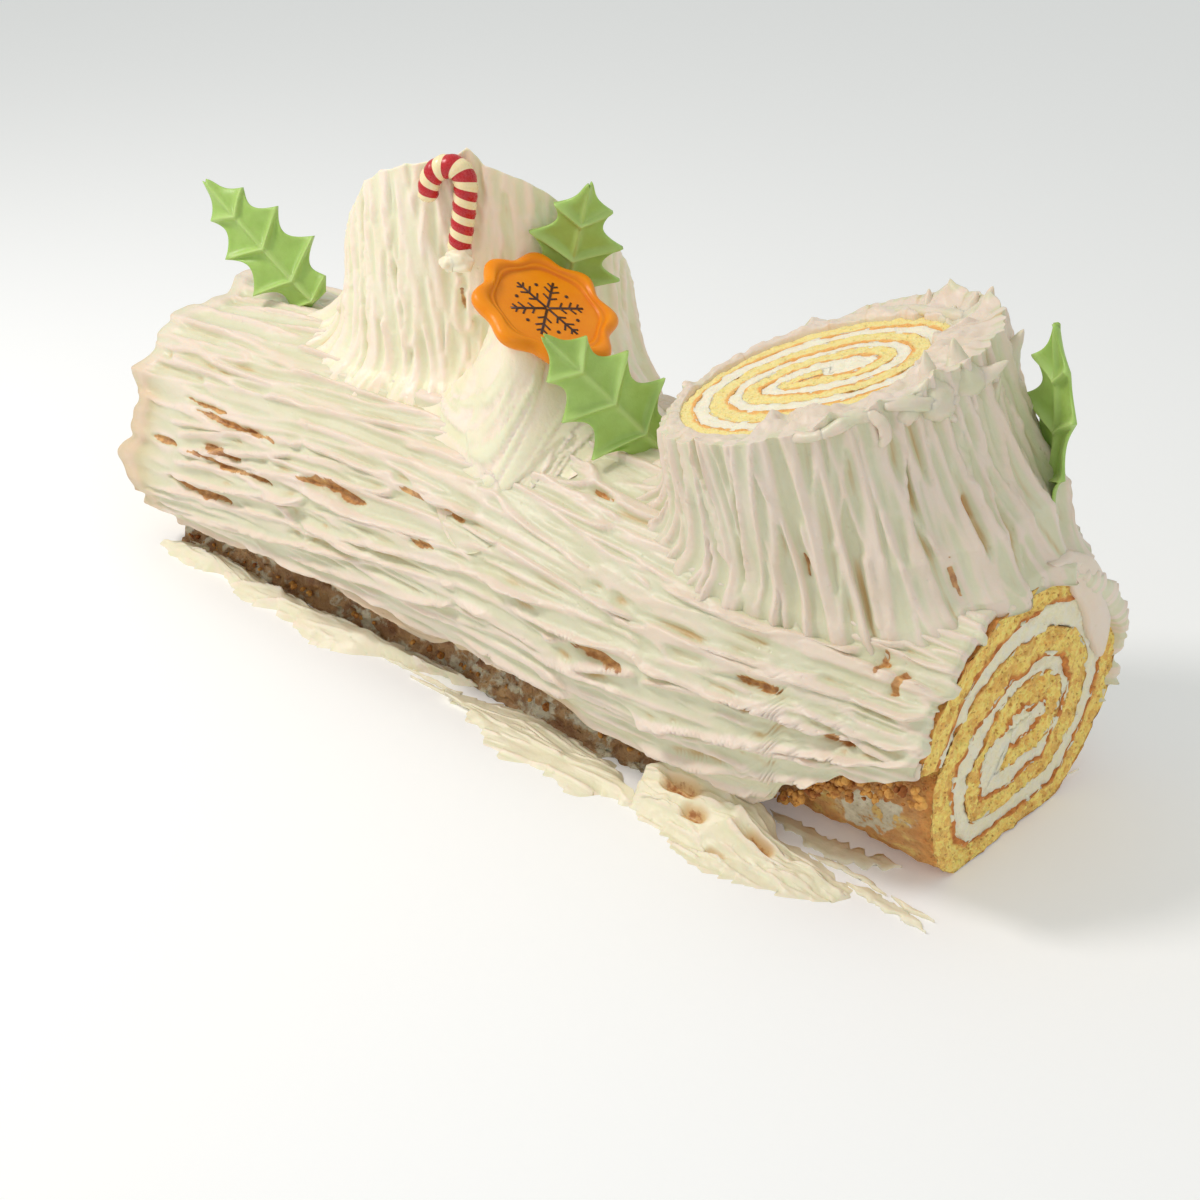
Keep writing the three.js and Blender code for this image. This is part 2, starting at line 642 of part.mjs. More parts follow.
add('log_sponge', logLayers.sponge, COLOURS.sponge, 0.95);
add('log_filling', logLayers.filling, COLOURS.cream, 0.6);
add('right_stump_sponge', right.sponge, COLOURS.sponge, 0.95);
add('right_stump_filling', right.filling, COLOURS.cream, 0.6);
add('left_stump_sponge', left.sponge, COLOURS.sponge, 0.95);
add('left_stump_filling', left.filling, COLOURS.cream, 0.6);
add('cream_coat', coat, COLOURS.cream, 0.5);
FOOT_CREAM.forEach((spec, row) => add(spec.name, footCream(spec, row), COLOURS.cream, 0.5));
LEAVES.forEach((spec, i) => add(`holly_leaf_${i + 1}`, leaf(spec), COLOURS.leaf, 0.45));
add('seal_plaque', seal(), COLOURS.seal, 0.35);
add('candy_cane', cane(), COLOURS.cane, 0.3);

export default cake;
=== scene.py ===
"""The looks of a yule log cake: a cream-coated Swiss roll with two sawn-off stumps of roll on it,
dressed with moulded holly leaves, a seal-shaped plaque and a small candy cane.

Lengths are in millimetres until a mesh is made, and then in metres. +X runs along the log towards
its last cut, the front of the cake is at -Y, and the cake rests on z = 0.
"""

import math

import bpy
import numpy as np
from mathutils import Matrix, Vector


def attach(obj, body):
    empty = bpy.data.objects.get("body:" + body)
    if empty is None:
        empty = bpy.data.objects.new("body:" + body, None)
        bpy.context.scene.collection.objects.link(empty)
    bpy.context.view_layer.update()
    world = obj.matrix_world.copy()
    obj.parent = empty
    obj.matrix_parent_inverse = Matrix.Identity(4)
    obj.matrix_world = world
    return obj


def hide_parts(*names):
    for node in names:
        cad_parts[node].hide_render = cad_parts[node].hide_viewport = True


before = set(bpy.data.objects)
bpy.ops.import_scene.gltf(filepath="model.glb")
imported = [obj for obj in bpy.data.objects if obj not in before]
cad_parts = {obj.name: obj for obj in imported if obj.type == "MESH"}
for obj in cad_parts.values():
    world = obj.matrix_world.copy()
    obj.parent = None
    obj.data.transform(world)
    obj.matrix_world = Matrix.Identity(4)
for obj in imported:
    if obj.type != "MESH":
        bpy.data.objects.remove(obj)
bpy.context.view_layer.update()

MM = 0.001
TURN = 2 * math.pi

# ---------------------------------------------------------------- camera, floor and light

CAMERA_AT = (295.42, -338.01, 273.68)
CAMERA_LOOKS = (-0.5612, 0.6588, -0.5011)
CAMERA_LENS = 51.68
CAMERA_SENSOR = 36
FLOOR_REACH = 4.0
FLOOR_GREY = (0.93, 0.93, 0.93, 1)
FLOOR_GLOW = 0.1
SKY_COLOUR = (0.97, 1.0, 0.98, 1)
SKY_STRENGTH = 0.6
LAMPS_FACE = (0, 0, 0.05)
# Each round lamp: name, place in metres, width, power and tint.
LAMPS = [("key", (-0.32, -0.3, 0.6), 0.17, 2.3, (1, 0.955, 0.93)),
         ("fill", (0.85, -0.35, 0.5), 0.6, 0.7, (1.0, 0.98, 0.96))]


def put_in_scene(name, data):
    """A new object for a mesh, lamp or camera, put in the scene."""
    made = bpy.data.objects.new(name, data)
    bpy.context.scene.collection.objects.link(made)
    return made


def aim(thing, at, way):
    thing.location = at
    thing.rotation_mode = "QUATERNION"
    thing.rotation_quaternion = way.to_track_quat("-Z", "Y")


def make_camera():
    data = bpy.data.cameras.new("camera")
    data.lens = CAMERA_LENS
    data.sensor_width = CAMERA_SENSOR
    data.clip_start, data.clip_end = 0.01, 20
    camera = put_in_scene("camera", data)
    aim(camera, Vector(CAMERA_AT) * MM, Vector(CAMERA_LOOKS))
    bpy.context.scene.camera = camera


def make_studio():
    floor = bpy.data.meshes.new("floor")
    reach = FLOOR_REACH
    floor.from_pydata([(-reach, -reach, 0), (reach, -reach, 0), (reach, reach, 0), (-reach, reach, 0)],
                      [], [(0, 1, 2, 3)])
    floor.materials.append(floor_finish())
    put_in_scene("floor", floor)
    world = bpy.data.worlds.new("studio")
    bpy.context.scene.world = world
    world.use_nodes = True
    sky = world.node_tree.nodes["Background"]
    sky.inputs["Color"].default_value = SKY_COLOUR
    sky.inputs["Strength"].default_value = SKY_STRENGTH
    bpy.context.scene.view_settings.view_transform = "Standard"
    for name, at, width, power, tint in LAMPS:
        data = bpy.data.lights.new(name, "AREA")
        data.shape = "DISK"
        data.size = width
        data.energy = power
        data.color = tint
        aim(put_in_scene(name, data), at, Vector(LAMPS_FACE) - Vector(at))


# ---------------------------------------------------------------- numbers that repeat

def unit(v):
    v = np.asarray(v, float)
    return v / np.linalg.norm(v)


def units(vectors):
    """Each vector of an array, at length 1."""
    return vectors / np.linalg.norm(vectors, axis=-1, keepdims=True)


def smooth(x, low, high):
    t = np.clip((x - low) / (high - low), 0, 1)
    return t * t * (3 - 2 * t)


def mix(a, b, share):
    return a + (b - a) * share


def bump(angle, at, width):
    """A smooth bump of height 1 round one direction."""
    off = np.arctan2(np.sin(angle - at), np.cos(angle - at))
    return np.exp(-(off / width) ** 2)


def cell_chance(x, y, z, seed):
    """A repeatable number from 0 to 1 for each whole-numbered cell."""
    n = (x.astype(np.int64) * 374761393 + y.astype(np.int64) * 668265263
         + z.astype(np.int64) * 2246822519 + seed * 3266489917).astype(np.uint64)
    with np.errstate(over="ignore"):
        for step in (np.uint64(0xFF51AFD7ED558CCD), np.uint64(0xC4CEB9FE1A85EC53)):
            n = (n ^ (n >> np.uint64(33))) * step
    n = n ^ (n >> np.uint64(33))
    return (n >> np.uint64(11)).astype(float) / 2.0 ** 53


def grain(x, y=0.0, z=0.0, seed=0):
    """Smooth noise from -1 to 1 over up to three coordinates."""
    x, y, z = np.broadcast_arrays(np.asarray(x, float), np.asarray(y, float), np.asarray(z, float))
    cx, cy, cz = np.floor(x), np.floor(y), np.floor(z)
    fx, fy, fz = (f * f * (3 - 2 * f) for f in (x - cx, y - cy, z - cz))
    total = 0.0
    for i in (0, 1):
        for j in (0, 1):
            for k in (0, 1):
                share = (fx if i else 1 - fx) * (fy if j else 1 - fy) * (fz if k else 1 - fz)
                total = total + share * cell_chance(cx + i, cy + j, cz + k, seed)
    return total * 2 - 1


def rough_grain(x, y=0.0, z=0.0, seed=0, layers=3):
    """Noise with finer noise on it."""
    total = 0.0
    for n in range(layers):
        scale = 2.03 ** n
        total = total + grain(x * scale, y * scale, z * scale, seed + 31 * n) / 1.9 ** n
    return total


def nearest_bubble(x, y, z, seed):
    """Distance to the nearest of a scatter of points, one in each cell."""
    cx, cy, cz = np.floor(x), np.floor(y), np.floor(z)
    nearest = np.full(np.shape(x), 9.0)
    for i in (-1, 0, 1):
        for j in (-1, 0, 1):
            for k in (-1, 0, 1):
                ax, ay, az = cx + i, cy + j, cz + k
                dx = ax + cell_chance(ax, ay, az, seed) - x
                dy = ay + cell_chance(ax, ay, az, seed + 1) - y
                dz = az + cell_chance(ax, ay, az, seed + 2) - z
                nearest = np.minimum(nearest, dx * dx + dy * dy + dz * dz)
    return np.sqrt(nearest)


CURVE_STEPS = 24


def curve_through(corners, count):
    """Evenly spaced points of a smooth curve through some corners."""
    corners = np.array(corners, float)
    longer = np.vstack([2 * corners[0] - corners[1], corners, 2 * corners[-1] - corners[-2]])
    dense = []
    for i in range(len(corners) - 1):
        p0, p1, p2, p3 = longer[i:i + 4]
        for t in np.linspace(0, 1, CURVE_STEPS, endpoint=False):
            dense.append(0.5 * (2 * p1 + (p2 - p0) * t + (2 * p0 - 5 * p1 + 4 * p2 - p3) * t * t
                                + (3 * p1 - 3 * p2 + p3 - p0) * t ** 3))
    dense = np.array(dense + [corners[-1]])
    run = np.concatenate([[0], np.cumsum(np.linalg.norm(np.diff(dense, axis=0), axis=1))])
    even = np.linspace(0, run[-1], count)
    return np.stack([np.interp(even, run, dense[:, n]) for n in range(dense.shape[1])], 1), even


# ---------------------------------------------------------------- meshes

def quads(index):
    """Faces between the rows and columns of a grid of point numbers."""
    return np.stack([index[:-1, :-1], index[1:, :-1], index[1:, 1:], index[:-1, 1:]], -1).reshape(-1, 4)


def closed(index):
    """A grid of point numbers whose last column joins its first."""
    return np.concatenate([index, index[:, :1]], 1)


def round_faces(rings, sides):
    """Faces of a tube whose points lie in rings, open at both ends."""
    return quads(closed(np.arange(rings * sides).reshape(rings, sides)))


def tube_faces(rings, sides):
    """The same with its two ends."""
    ring = list(range(sides))
    return round_faces(rings, sides).tolist() + [ring, [(rings - 1) * sides + n for n in ring[::-1]]]


def round_angles(count):
    """Evenly spaced directions all the way round, as one row."""
    return np.linspace(0, TURN, count, endpoint=False)[None, :]


def joined(parts):
    """Points and faces of several parts as those of one mesh."""
    points, faces, total = [], [], 0
    for part_points, part_faces in parts:
        faces += [tuple(i + total for i in face) for face in part_faces]
        points.append(part_points)
        total += len(part_points)
    return np.concatenate(points), faces


def piece(name, points, faces, finish, marks=None, slot=None, stands_for=()):
    """One piece of the cake from points in millimetres, faces, and marks: values painted on its
    points, or one value for all of them."""
    mesh = bpy.data.meshes.new(name)
    points = np.asarray(points, float).reshape(-1, 3) * MM
    mesh.from_pydata(points.tolist(), [], faces.tolist() if hasattr(faces, "tolist") else faces)
    for mark, values in (marks or {}).items():
        layer = mesh.attributes.new(mark, "FLOAT", "POINT")
        everywhere = np.ones(len(points), np.float32)
        layer.data.foreach_set("value", everywhere * np.asarray(values, np.float32).reshape(-1))
    mesh.polygons.foreach_set("use_smooth", [True] * len(mesh.polygons))
    mesh.validate()
    mesh.update()
    mesh.materials.append(finish)
    made = put_in_scene(name, mesh)
    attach(made, "root")
    if stands_for:
        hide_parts(*stands_for)


def facing_out(points, faces):
    """The faces, turned over if the closed skin they make would be inside out."""
    a, b, c, d = (points[faces[:, n]] for n in range(4))
    volume = sum(np.einsum("ij,ij->i", a, np.cross(*pair)).sum() for pair in ((b, c), (c, d)))
    return faces if volume > 0 else faces[:, ::-1]


def block(points):
    """The closed skin of a bent block of points [i, j, k], with the numbers of the points it uses."""
    index = np.arange(points[..., 0].size).reshape(points.shape[:3])
    faces = np.concatenate([
        quads(index[:, :, -1]), quads(index[:, :, 0])[:, ::-1],
        quads(index[-1]), quads(index[0])[:, ::-1],
        quads(index[:, -1].T), quads(index[:, 0].T)[:, ::-1],
    ])
    used, faces = np.unique(faces, return_inverse=True)
    faces = faces.reshape(-1, 4)
    flat = points.reshape(-1, 3)[used]
    return flat, facing_out(flat, faces), used


# ---------------------------------------------------------------- finishes

def paint(red, green, blue):
    """A colour given as 0 to 255 screen values, as the linear colour that shaders use."""
    def linear(value):
        share = value / 255
        return share / 12.92 if share <= 0.04045 else ((share + 0.055) / 1.055) ** 2.4
    return (linear(red), linear(green), linear(blue), 1.0)


def add_node(tree, kind, inputs=None, **settings):
    """A new node, with each input set to a value or joined to another node's output."""
    node = tree.nodes.new(kind)
    for key, value in settings.items():
        setattr(node, key, value)
    for key, value in (inputs or {}).items():
        if isinstance(value, bpy.types.NodeSocket):
            tree.links.new(value, node.inputs[key])
        else:
            node.inputs[key].default_value = value
    return node


def new_group(name, inputs, outputs):
    """An empty shader group with named inputs and outputs, and what comes in through its inputs."""
    tree = bpy.data.node_groups.new(name, "ShaderNodeTree")
    for label, kind, value in inputs:
        socket = tree.interface.new_socket(label, in_out="INPUT", socket_type=kind)
        if value is not None:
            socket.default_value = value
    for label, kind in outputs:
        tree.interface.new_socket(label, in_out="OUTPUT", socket_type=kind)
    return tree, add_node(tree, "NodeGroupInput").outputs


def make_cloudy():
    """Two tones that drift into each other in patches, with a finer mottle on them."""
    tree, given = new_group("cloudy_tone", [
        ("Place", "NodeSocketVector", None), ("Tone", "NodeSocketColor", (1, 1, 1, 1)),
        ("Other Tone", "NodeSocketColor", (0.5, 0.5, 0.5, 1)), ("Patches", "NodeSocketFloat", 40.0),
        ("Edge", "NodeSocketFloat", 0.15),
    ], [("Colour", "NodeSocketColor"), ("Mask", "NodeSocketFloat")])
    noise = add_node(tree, "ShaderNodeTexNoise", {
        "Vector": given["Place"], "Scale": given["Patches"], "Detail": 4.0, "Roughness": 0.6,
    })
    low, high = (add_node(tree, "ShaderNodeMath", {0: 0.5, 1: given["Edge"]}, operation=way)
                 for way in ("SUBTRACT", "ADD"))
    share = add_node(tree, "ShaderNodeMapRange", {
        "Value": noise.outputs["Fac"], "From Min": low.outputs[0], "From Max": high.outputs[0],
    })
    blend = add_node(tree, "ShaderNodeMix", {
        0: share.outputs[0], 6: given["Tone"], 7: given["Other Tone"],
    }, data_type="RGBA")
    add_node(tree, "NodeGroupOutput", {"Colour": blend.outputs[2], "Mask": share.outputs[0]})
    return tree


def make_pitted():
    """A fine uneven skin: low grain with small pits or bubbles scattered over it."""
    tree, given = new_group("pitted_skin", [
        ("Place", "NodeSocketVector", None), ("Grain", "NodeSocketFloat", 900.0),
        ("Pits", "NodeSocketFloat", 500.0), ("Pit Size", "NodeSocketFloat", 0.2),
        ("Pit Depth", "NodeSocketFloat", 0.5),
    ], [("Height", "NodeSocketFloat"), ("Pit Mask", "NodeSocketFloat")])
    noise = add_node(tree, "ShaderNodeTexNoise", {
        "Vector": given["Place"], "Scale": given["Grain"], "Detail": 3.0,
    })
    cells = add_node(tree, "ShaderNodeTexVoronoi", {"Vector": given["Place"], "Scale": given["Pits"]})
    pit = add_node(tree, "ShaderNodeMapRange", {
        "Value": cells.outputs["Distance"], "From Max": given["Pit Size"], "To Min": 1.0, "To Max": 0.0,
    })
    deep = add_node(tree, "ShaderNodeMath", {0: pit.outputs[0], 1: given["Pit Depth"]}, operation="MULTIPLY")
    less = add_node(tree, "ShaderNodeMath", {0: noise.outputs["Fac"], 1: deep.outputs[0]},
                    operation="SUBTRACT")
    add_node(tree, "NodeGroupOutput", {"Height": less.outputs[0], "Pit Mask": pit.outputs[0]})
    return tree


CLOUDY = make_cloudy()
PITTED = make_pitted()


class Finish:
    """A material under construction: its node tree, and short ways to add to it."""

    def __init__(self, name, roughness=0.5):
        self.material = bpy.data.materials.new(name)
        self.material.use_nodes = True
        self.tree = self.material.node_tree
        self.shader = self.tree.nodes["Principled BSDF"]
        self.shader.inputs["Roughness"].default_value = roughness
        self.place = self.add("ShaderNodeTexCoord").outputs["Object"]

    def add(self, kind, inputs=None, **settings):
        return add_node(self.tree, kind, inputs, **settings)

    def group(self, tree, **values):
        inputs = {key.replace("_", " "): value for key, value in values.items()}
        return self.add("ShaderNodeGroup", {"Place": self.place, **inputs}, node_tree=tree).outputs

    def tones(self, tone, other, patches, edge):
        """Two tones in patches, given as 0 to 255 screen values."""
        return self.group(CLOUDY, Tone=paint(*tone), Other_Tone=paint(*other), Patches=patches, Edge=edge)

    def skin(self, grains, pits, pit_size, pit_depth, depth, strength, roughness=None):
        """A pitted skin: relief from it, and gloss that follows it between two roughnesses."""
        skin = self.group(PITTED, Grain=grains, Pits=pits, Pit_Size=pit_size, Pit_Depth=pit_depth)
        if roughness:
            self.feed("Roughness", self.step(skin["Height"], 0.0, 1.0, *roughness))
        relief = self.add("ShaderNodeBump", {
            "Height": skin["Height"], "Distance": depth, "Strength": strength,
        })
        self.feed("Normal", relief.outputs["Normal"])
        return skin

    def mark(self, name):
        return self.add("ShaderNodeAttribute", attribute_name=name).outputs["Fac"]

    def blend(self, share, first, second):
        return self.add("ShaderNodeMix", {0: share, 6: first, 7: second}, data_type="RGBA").outputs[2]

    def reckon(self, operation, first, second):
        return self.add("ShaderNodeMath", {0: first, 1: second}, operation=operation).outputs[0]

    def step(self, value, low, high, to_low=0.0, to_high=1.0):
        return self.add("ShaderNodeMapRange", {
            "Value": value, "From Min": low, "From Max": high, "To Min": to_low, "To Max": to_high,
        }, interpolation_type="SMOOTHSTEP").outputs[0]

    def feed(self, socket, value):
        self.tree.links.new(value, self.shader.inputs[socket])

    def melt(self, weight, radius, scale):
        """Light that goes a little way into the cream, sponge or icing."""
        self.shader.inputs["Subsurface Weight"].default_value = weight
        self.shader.inputs["Subsurface Radius"].default_value = radius
        self.shader.inputs["Subsurface Scale"].default_value = scale


def floor_finish():
    finish = Finish("floor_paper", 0.9)
    finish.shader.inputs["Base Color"].default_value = FLOOR_GREY
    finish.shader.inputs["Emission Color"].default_value = FLOOR_GREY
    finish.shader.inputs["Emission Strength"].default_value = FLOOR_GLOW
    return finish.material


# cream colours: a pinkish painted highlight for the crests and a greener painted shade for the troughs, each
# as two tones that drift into each other in patches
HIGHLIT_CREST, OTHER_HIGHLIT_CREST = (254, 236, 219), (252, 233, 211)
SHADED_TROUGH, OTHER_SHADED_TROUGH = (241, 237, 207), (235, 231, 196)
# tan for tight grooves: partly the cake showing through thin cream, partly painted shade
GROOVE = (222, 182, 118)


def cream_finish(name, share):
    """Whipped cream: pinkish ivory crests, a painted highlight, and greener troughs, painted shade; tan in
    tight grooves, partly the cake showing through and partly painted shade; crumb colour where it is scraped
    thin down to the cake, and as painted shade in the caves of the board smears. It is a little darker, as
    painted shade, where share is under 1."""
    # every colour scaled by share: under 1 the whole cream is painted darker, as painted shade
    crest, other_crest_highlight, trough, other_trough_shade, groove = (
        [value * share for value in tone] for tone in (HIGHLIT_CREST, OTHER_HIGHLIT_CREST, SHADED_TROUGH, OTHER_SHADED_TROUGH, GROOVE))
    finish = Finish(name, 0.42)
    finish.skin(700.0, 260.0, 0.13, 1.1, 0.00025, 0.6, (0.36, 0.52))
    high = finish.tones(crest, other_crest_highlight, 55.0, 0.12)
    low = finish.tones(trough, other_trough_shade, 70.0, 0.12)
    # blend from the troughs' painted shade up to the crests' painted highlight
    body = finish.blend(finish.step(finish.mark("crest"), 0.3, 0.75), low["Colour"], high["Colour"])
    crumb = finish.tones((226, 172, 104), (170, 106, 54), 420.0, 0.14)
    # tan in tight grooves: partly the cake showing through thin cream, partly painted shade
    deep = finish.step(finish.mark("hollow"), 0.05, 1.0, 0.0, 0.9)
    grooved = finish.blend(deep, body, paint(*groove))
    ragged = finish.reckon("ADD", finish.mark("bare"), finish.reckon("MULTIPLY", crumb["Mask"], 0.35))
    bare = finish.step(ragged, 0.5, 0.85, 0.0, 0.9)
    finish.feed("Base Color", finish.blend(bare, grooved, crumb["Colour"]))
    finish.melt(0.3, (1.0, 0.62, 0.4), 0.0011)
    return finish.material


def sponge_finish(name, light, shade, skin_light, skin_shade, wet=False):
    """Sponge: crumb in two tones with its bubbles painted darker as painted shade, a browned skin, and where
    it is wet a dark brown that stands for soaking and for painted shade under the log's coat.
    """
    finish = Finish(name, 0.85)
    crumb = finish.tones(shade, light, 650.0, 0.16)["Colour"]
    skin = finish.tones(skin_shade, skin_light, 420.0, 0.2)["Colour"]
    pore_shade = finish.skin(1500.0, 800.0, 0.34, 0.8, 0.0006, 0.8)["Pit Mask"]
    if wet:
        fleck = finish.step(finish.group(CLOUDY, Patches=210.0, Edge=0.04)["Mask"], 0.9, 1.0)
        crumb = finish.blend(finish.reckon("MULTIPLY", fleck, 0.4), crumb, skin)
    # the bubbles painted darker: painted shade in the pores
    pitted = finish.blend(finish.reckon("MULTIPLY", pore_shade, 0.75 if wet else 0.25), crumb,
                          paint(*(skin_shade if wet else shade)))
    browned = finish.blend(finish.mark("skin"), pitted, skin)
    if wet:
        # dark brown for the wet sponge low on the front, under the coat's edge: soaking, and painted shade
        soaked_and_shaded = finish.tones((132, 84, 44), (198, 158, 108), 170.0, 0.2)
        smear = finish.tones((176, 160, 128), (216, 206, 180), 160.0, 0.12)
        damp = finish.blend(finish.mark("soak_and_shade"), browned, soaked_and_shaded["Colour"])
        over = finish.step(finish.reckon("MULTIPLY", finish.mark("smear"), smear["Mask"]), 0.3, 0.75)
        browned = finish.blend(over, damp, smear["Colour"])
        finish.feed("Roughness", finish.step(finish.mark("soak_and_shade"), 0.2, 1.0, 0.85, 0.38))
    finish.feed("Base Color", browned)
    finish.melt(0.25, (1.0, 0.6, 0.25), 0.002)
    return finish.material


def filling_finish(name, tone, other):
    finish = Finish(name, 0.55)
    finish.feed("Base Color", finish.tones(tone, other, 380.0, 0.2)["Colour"])
    finish.skin(1200.0, 500.0, 0.25, 0.8, 0.0005, 0.7)
    finish.melt(0.4, (1.0, 0.7, 0.5), 0.002)
    return finish.material


def leaf_finish():
    finish = Finish("leaf_icing", 0.4)
    body = finish.tones((158, 190, 92), (172, 204, 110), 260.0, 0.25)
    # paler green on the raised veins and midrib: a painted highlight
    raised = finish.reckon("MULTIPLY", finish.mark("raised"), 0.75)
    finish.feed("Base Color", finish.blend(raised, body["Colour"], paint(190, 214, 134)))
    finish.skin(1600.0, 420.0, 0.08, 0.6, 0.00012, 0.5, (0.34, 0.5))
    finish.melt(0.3, (0.6, 1.0, 0.3), 0.0015)
    return finish.material


def seal_finish():
    finish = Finish("seal_icing", 0.4)
    body = finish.tones((240, 136, 8), (247, 152, 18), 120.0, 0.3)
    # darker orange in the creases round the field: painted shade
    finish.feed("Base Color", finish.blend(finish.mark("crease_shade"), body["Colour"], paint(205, 100, 6)))
    finish.skin(900.0, 300.0, 0.06, 0.5, 0.00012, 0.5, (0.3, 0.44))
    finish.shader.inputs["Specular IOR Level"].default_value = 0.3
    finish.melt(0.15, (1.0, 0.5, 0.1), 0.0012)
    return finish.material


def cane_finish():
    finish = Finish("cane_icing", 0.25)
    pale = finish.tones((244, 222, 168), (250, 234, 192), 300.0, 0.3)
    red = finish.tones((180, 28, 36), (206, 46, 52), 300.0, 0.3)
    ragged = finish.reckon("ADD", finish.mark("stripe"), finish.reckon("MULTIPLY", red["Mask"], 0.12))
    finish.feed("Base Color", finish.blend(finish.step(ragged, -0.12, 0.0), pale["Colour"], red["Colour"]))
    finish.skin(1500.0, 600.0, 0.08, 0.5, 0.0001, 0.5, (0.2, 0.36))
    finish.melt(0.3, (1.0, 0.5, 0.3), 0.0015)
    return finish.material


def crumb_finish():
    finish = Finish("crumb", 0.8)
    finish.feed("Base Color", finish.tones((150, 84, 30), (228, 168, 84), 240.0, 0.1)["Colour"])
    finish.skin(1600.0, 900.0, 0.3, 0.8, 0.0004, 0.8)
    return finish.material


def motif_finish():
    finish = Finish("motif_icing", 0.4)
    finish.feed("Base Color", finish.tones((62, 34, 26), (84, 48, 34), 500.0, 0.2)["Colour"])
    return finish.material


# ---------------------------------------------------------------- Swiss rolls

class Roll:
    """A Swiss roll: a sponge sheet wound inwards from its loose end, cut square or slantwise.

    origin is on its axis and half gives its half width and half height. sheet and filling are
    their thicknesses, and core is half the width of the fold in the middle. start is the direction
    of the loose end in degrees, and turns is how often the sheet goes round. cut is the way that a
    slanted cut faces. rest and tuck say how late and how sharply each turn goes in under the last,
    squeeze how far the first is pressed in, flatten how flat it lies and uneven how it wavers."""

    def __init__(self, origin, along, across, half, sheet, filling, core, start, turns, cut=None,
                 rest=0.0, tuck=3.0, squeeze=0.0, flatten=2.0, uneven=0.45):
        self.origin = np.array(origin, float)
        self.w = unit(along)
        across = np.asarray(across, float)
        self.p = unit(across - self.w * across.dot(self.w))
        self.q = np.cross(self.w, self.p)
        self.half = half
        self.sheet, self.filling, self.core = sheet, filling, core
        self.start, self.turns = math.radians(start), turns
        self.cut = unit(along if cut is None else cut)
        self.rest, self.tuck, self.squeeze, self.flatten = rest, tuck, squeeze, flatten
        self.uneven = uneven

    def at(self, a, b, h):
        a, b, h = np.broadcast_arrays(a, b, h)
        return self.origin + a[..., None] * self.p + b[..., None] * self.q + h[..., None] * self.w

    def inset(self, turn):
        whole = np.floor(turn)
        part = np.clip((turn - whole - self.rest) / (1 - self.rest), 0, None)
        pressed = self.squeeze * np.exp(-((turn - 1) / 0.07) ** 2)
        uneven = self.uneven * grain(turn * 6.3, 5, 0, 17) * smooth(turn, 0.9, 1.3)
        return (whole + part ** self.tuck) * (self.sheet + self.filling) - pressed + uneven

    def point(self, turn, depth):
        """A point of the cross section, some turns from the loose end and some way into the sheet."""
        depth = depth * (1 + 0.17 * self.uneven * grain(turn * 9.1, 8, 0, 23))
        high = np.maximum(0.35, self.half[1] - self.inset(turn) - depth)
        wide = self.core + (self.half[0] - self.core) * high / self.half[1]
        angle = self.start - turn * TURN
        return wide * np.cos(angle), np.maximum(high * np.sin(angle), -self.flatten * high)

    def oval(self, angle, extra):
        return (self.half[0] + extra) * np.cos(angle), (self.half[1] + extra) * np.sin(angle)


LOG_Y, LOG_Z = -2, 34      # where the log's axis runs
LOG_WIDE, LOG_HIGH = 44, 40
LOG_HALF = 146             # half its length
LOG_SLANT = 0.08
LOG = Roll((0, LOG_Y, LOG_Z), (1, 0, 0), (0, 1, 0), (LOG_WIDE, LOG_HIGH), sheet=9.1, filling=4.4, core=5,
           start=172, turns=2.8, rest=0.84, tuck=1.1, squeeze=3.6, flatten=0.85, uneven=1.0)
RIGHT = Roll((80.9, -1.1, 109.1), (-0.27, -0.09, 0.958), (0.729, 0.612, 0.307), (38.5, 37.5),
             sheet=6.6, filling=4.0, core=8, start=-118, turns=3.42, cut=(-0.3, -0.117, 0.947))
LEFT = Roll((-48.6, 16, 99.5), (0, 0, 1), (0.761, 0.649, 0), (36.5, 29.5),
            sheet=6.1, filling=3.8, core=7, start=100, turns=2.6, cut=(-0.399, 0.651, 0.645))
STUMP_FOOT = 52            # height at which the stumps' shapes start, inside the log
STUMP_GROUND = 74          # height at which their skirts are widest


def slanted_cut(roll):
    """Height along the roll of its slanted cut."""
    def height(a, b):
        return -(a * roll.p.dot(roll.cut) + b * roll.q.dot(roll.cut)) / roll.w.dot(roll.cut)
    return height


def log_cut(a, b):
    return LOG_HALF + LOG_SLANT * a + 0 * b


def square_end(height):
    """The same height along a roll all over its cross section."""
    return lambda a, b: height + 0 * a


def crumb_relief(at, roughness, seed):
    """How far the cut crumb stands up or sinks in: torn lumps with bubbles."""
    x, y, z = at[..., 0], at[..., 1], at[..., 2]
    lumps = rough_grain(x / 3.2, y / 3.2, z / 3.2, seed, 3)
    bubbles = smooth(nearest_bubble(x / 1.9, y / 1.9, z / 1.9, seed + 5), 0.18, 0.5) - 1
    small = smooth(nearest_bubble(x / 0.95, y / 0.95, z / 0.95, seed + 9), 0.2, 0.5) - 1
    return roughness * (0.35 * lumps + 0.6 * bubbles + 0.3 * small)


def wound_block(roll, turns, low, high, outer, inner, columns, stations, relief):
    """A layer of the roll as a closed block, with relief on both its cuts.

    outer and inner give its two faces in the cross section at some turns from the loose end."""
    share = np.linspace(0, 1, columns)[None, :]
    a0, b0 = outer(turns[:, None])
    a1, b1 = inner(turns[:, None])
    a, b = mix(a0, a1, share), mix(b0, b1, share)
    h = low(a, b)[..., None] + (high(a, b) - low(a, b))[..., None] * stations
    points = roll.at(a[..., None], b[..., None], h)
    for end, way in ((-1, 1), (0, -1)):
        points[:, :, end] += way * (relief(points[:, :, end], share))[..., None] * roll.w
    return points, np.broadcast_to(share[..., None], h.shape)


SHEET_COLUMNS = 18         # points through the sheet, and through the filling
FILLING_COLUMNS = 9
RAGGED = 0.5               # how far the sheet's faces waver, for each step of roughness
LAST_FOLD = 0.97           # turns over which the filling goes in to the middle
JUST_PAST = 0.032          # and how far past the sheet's end


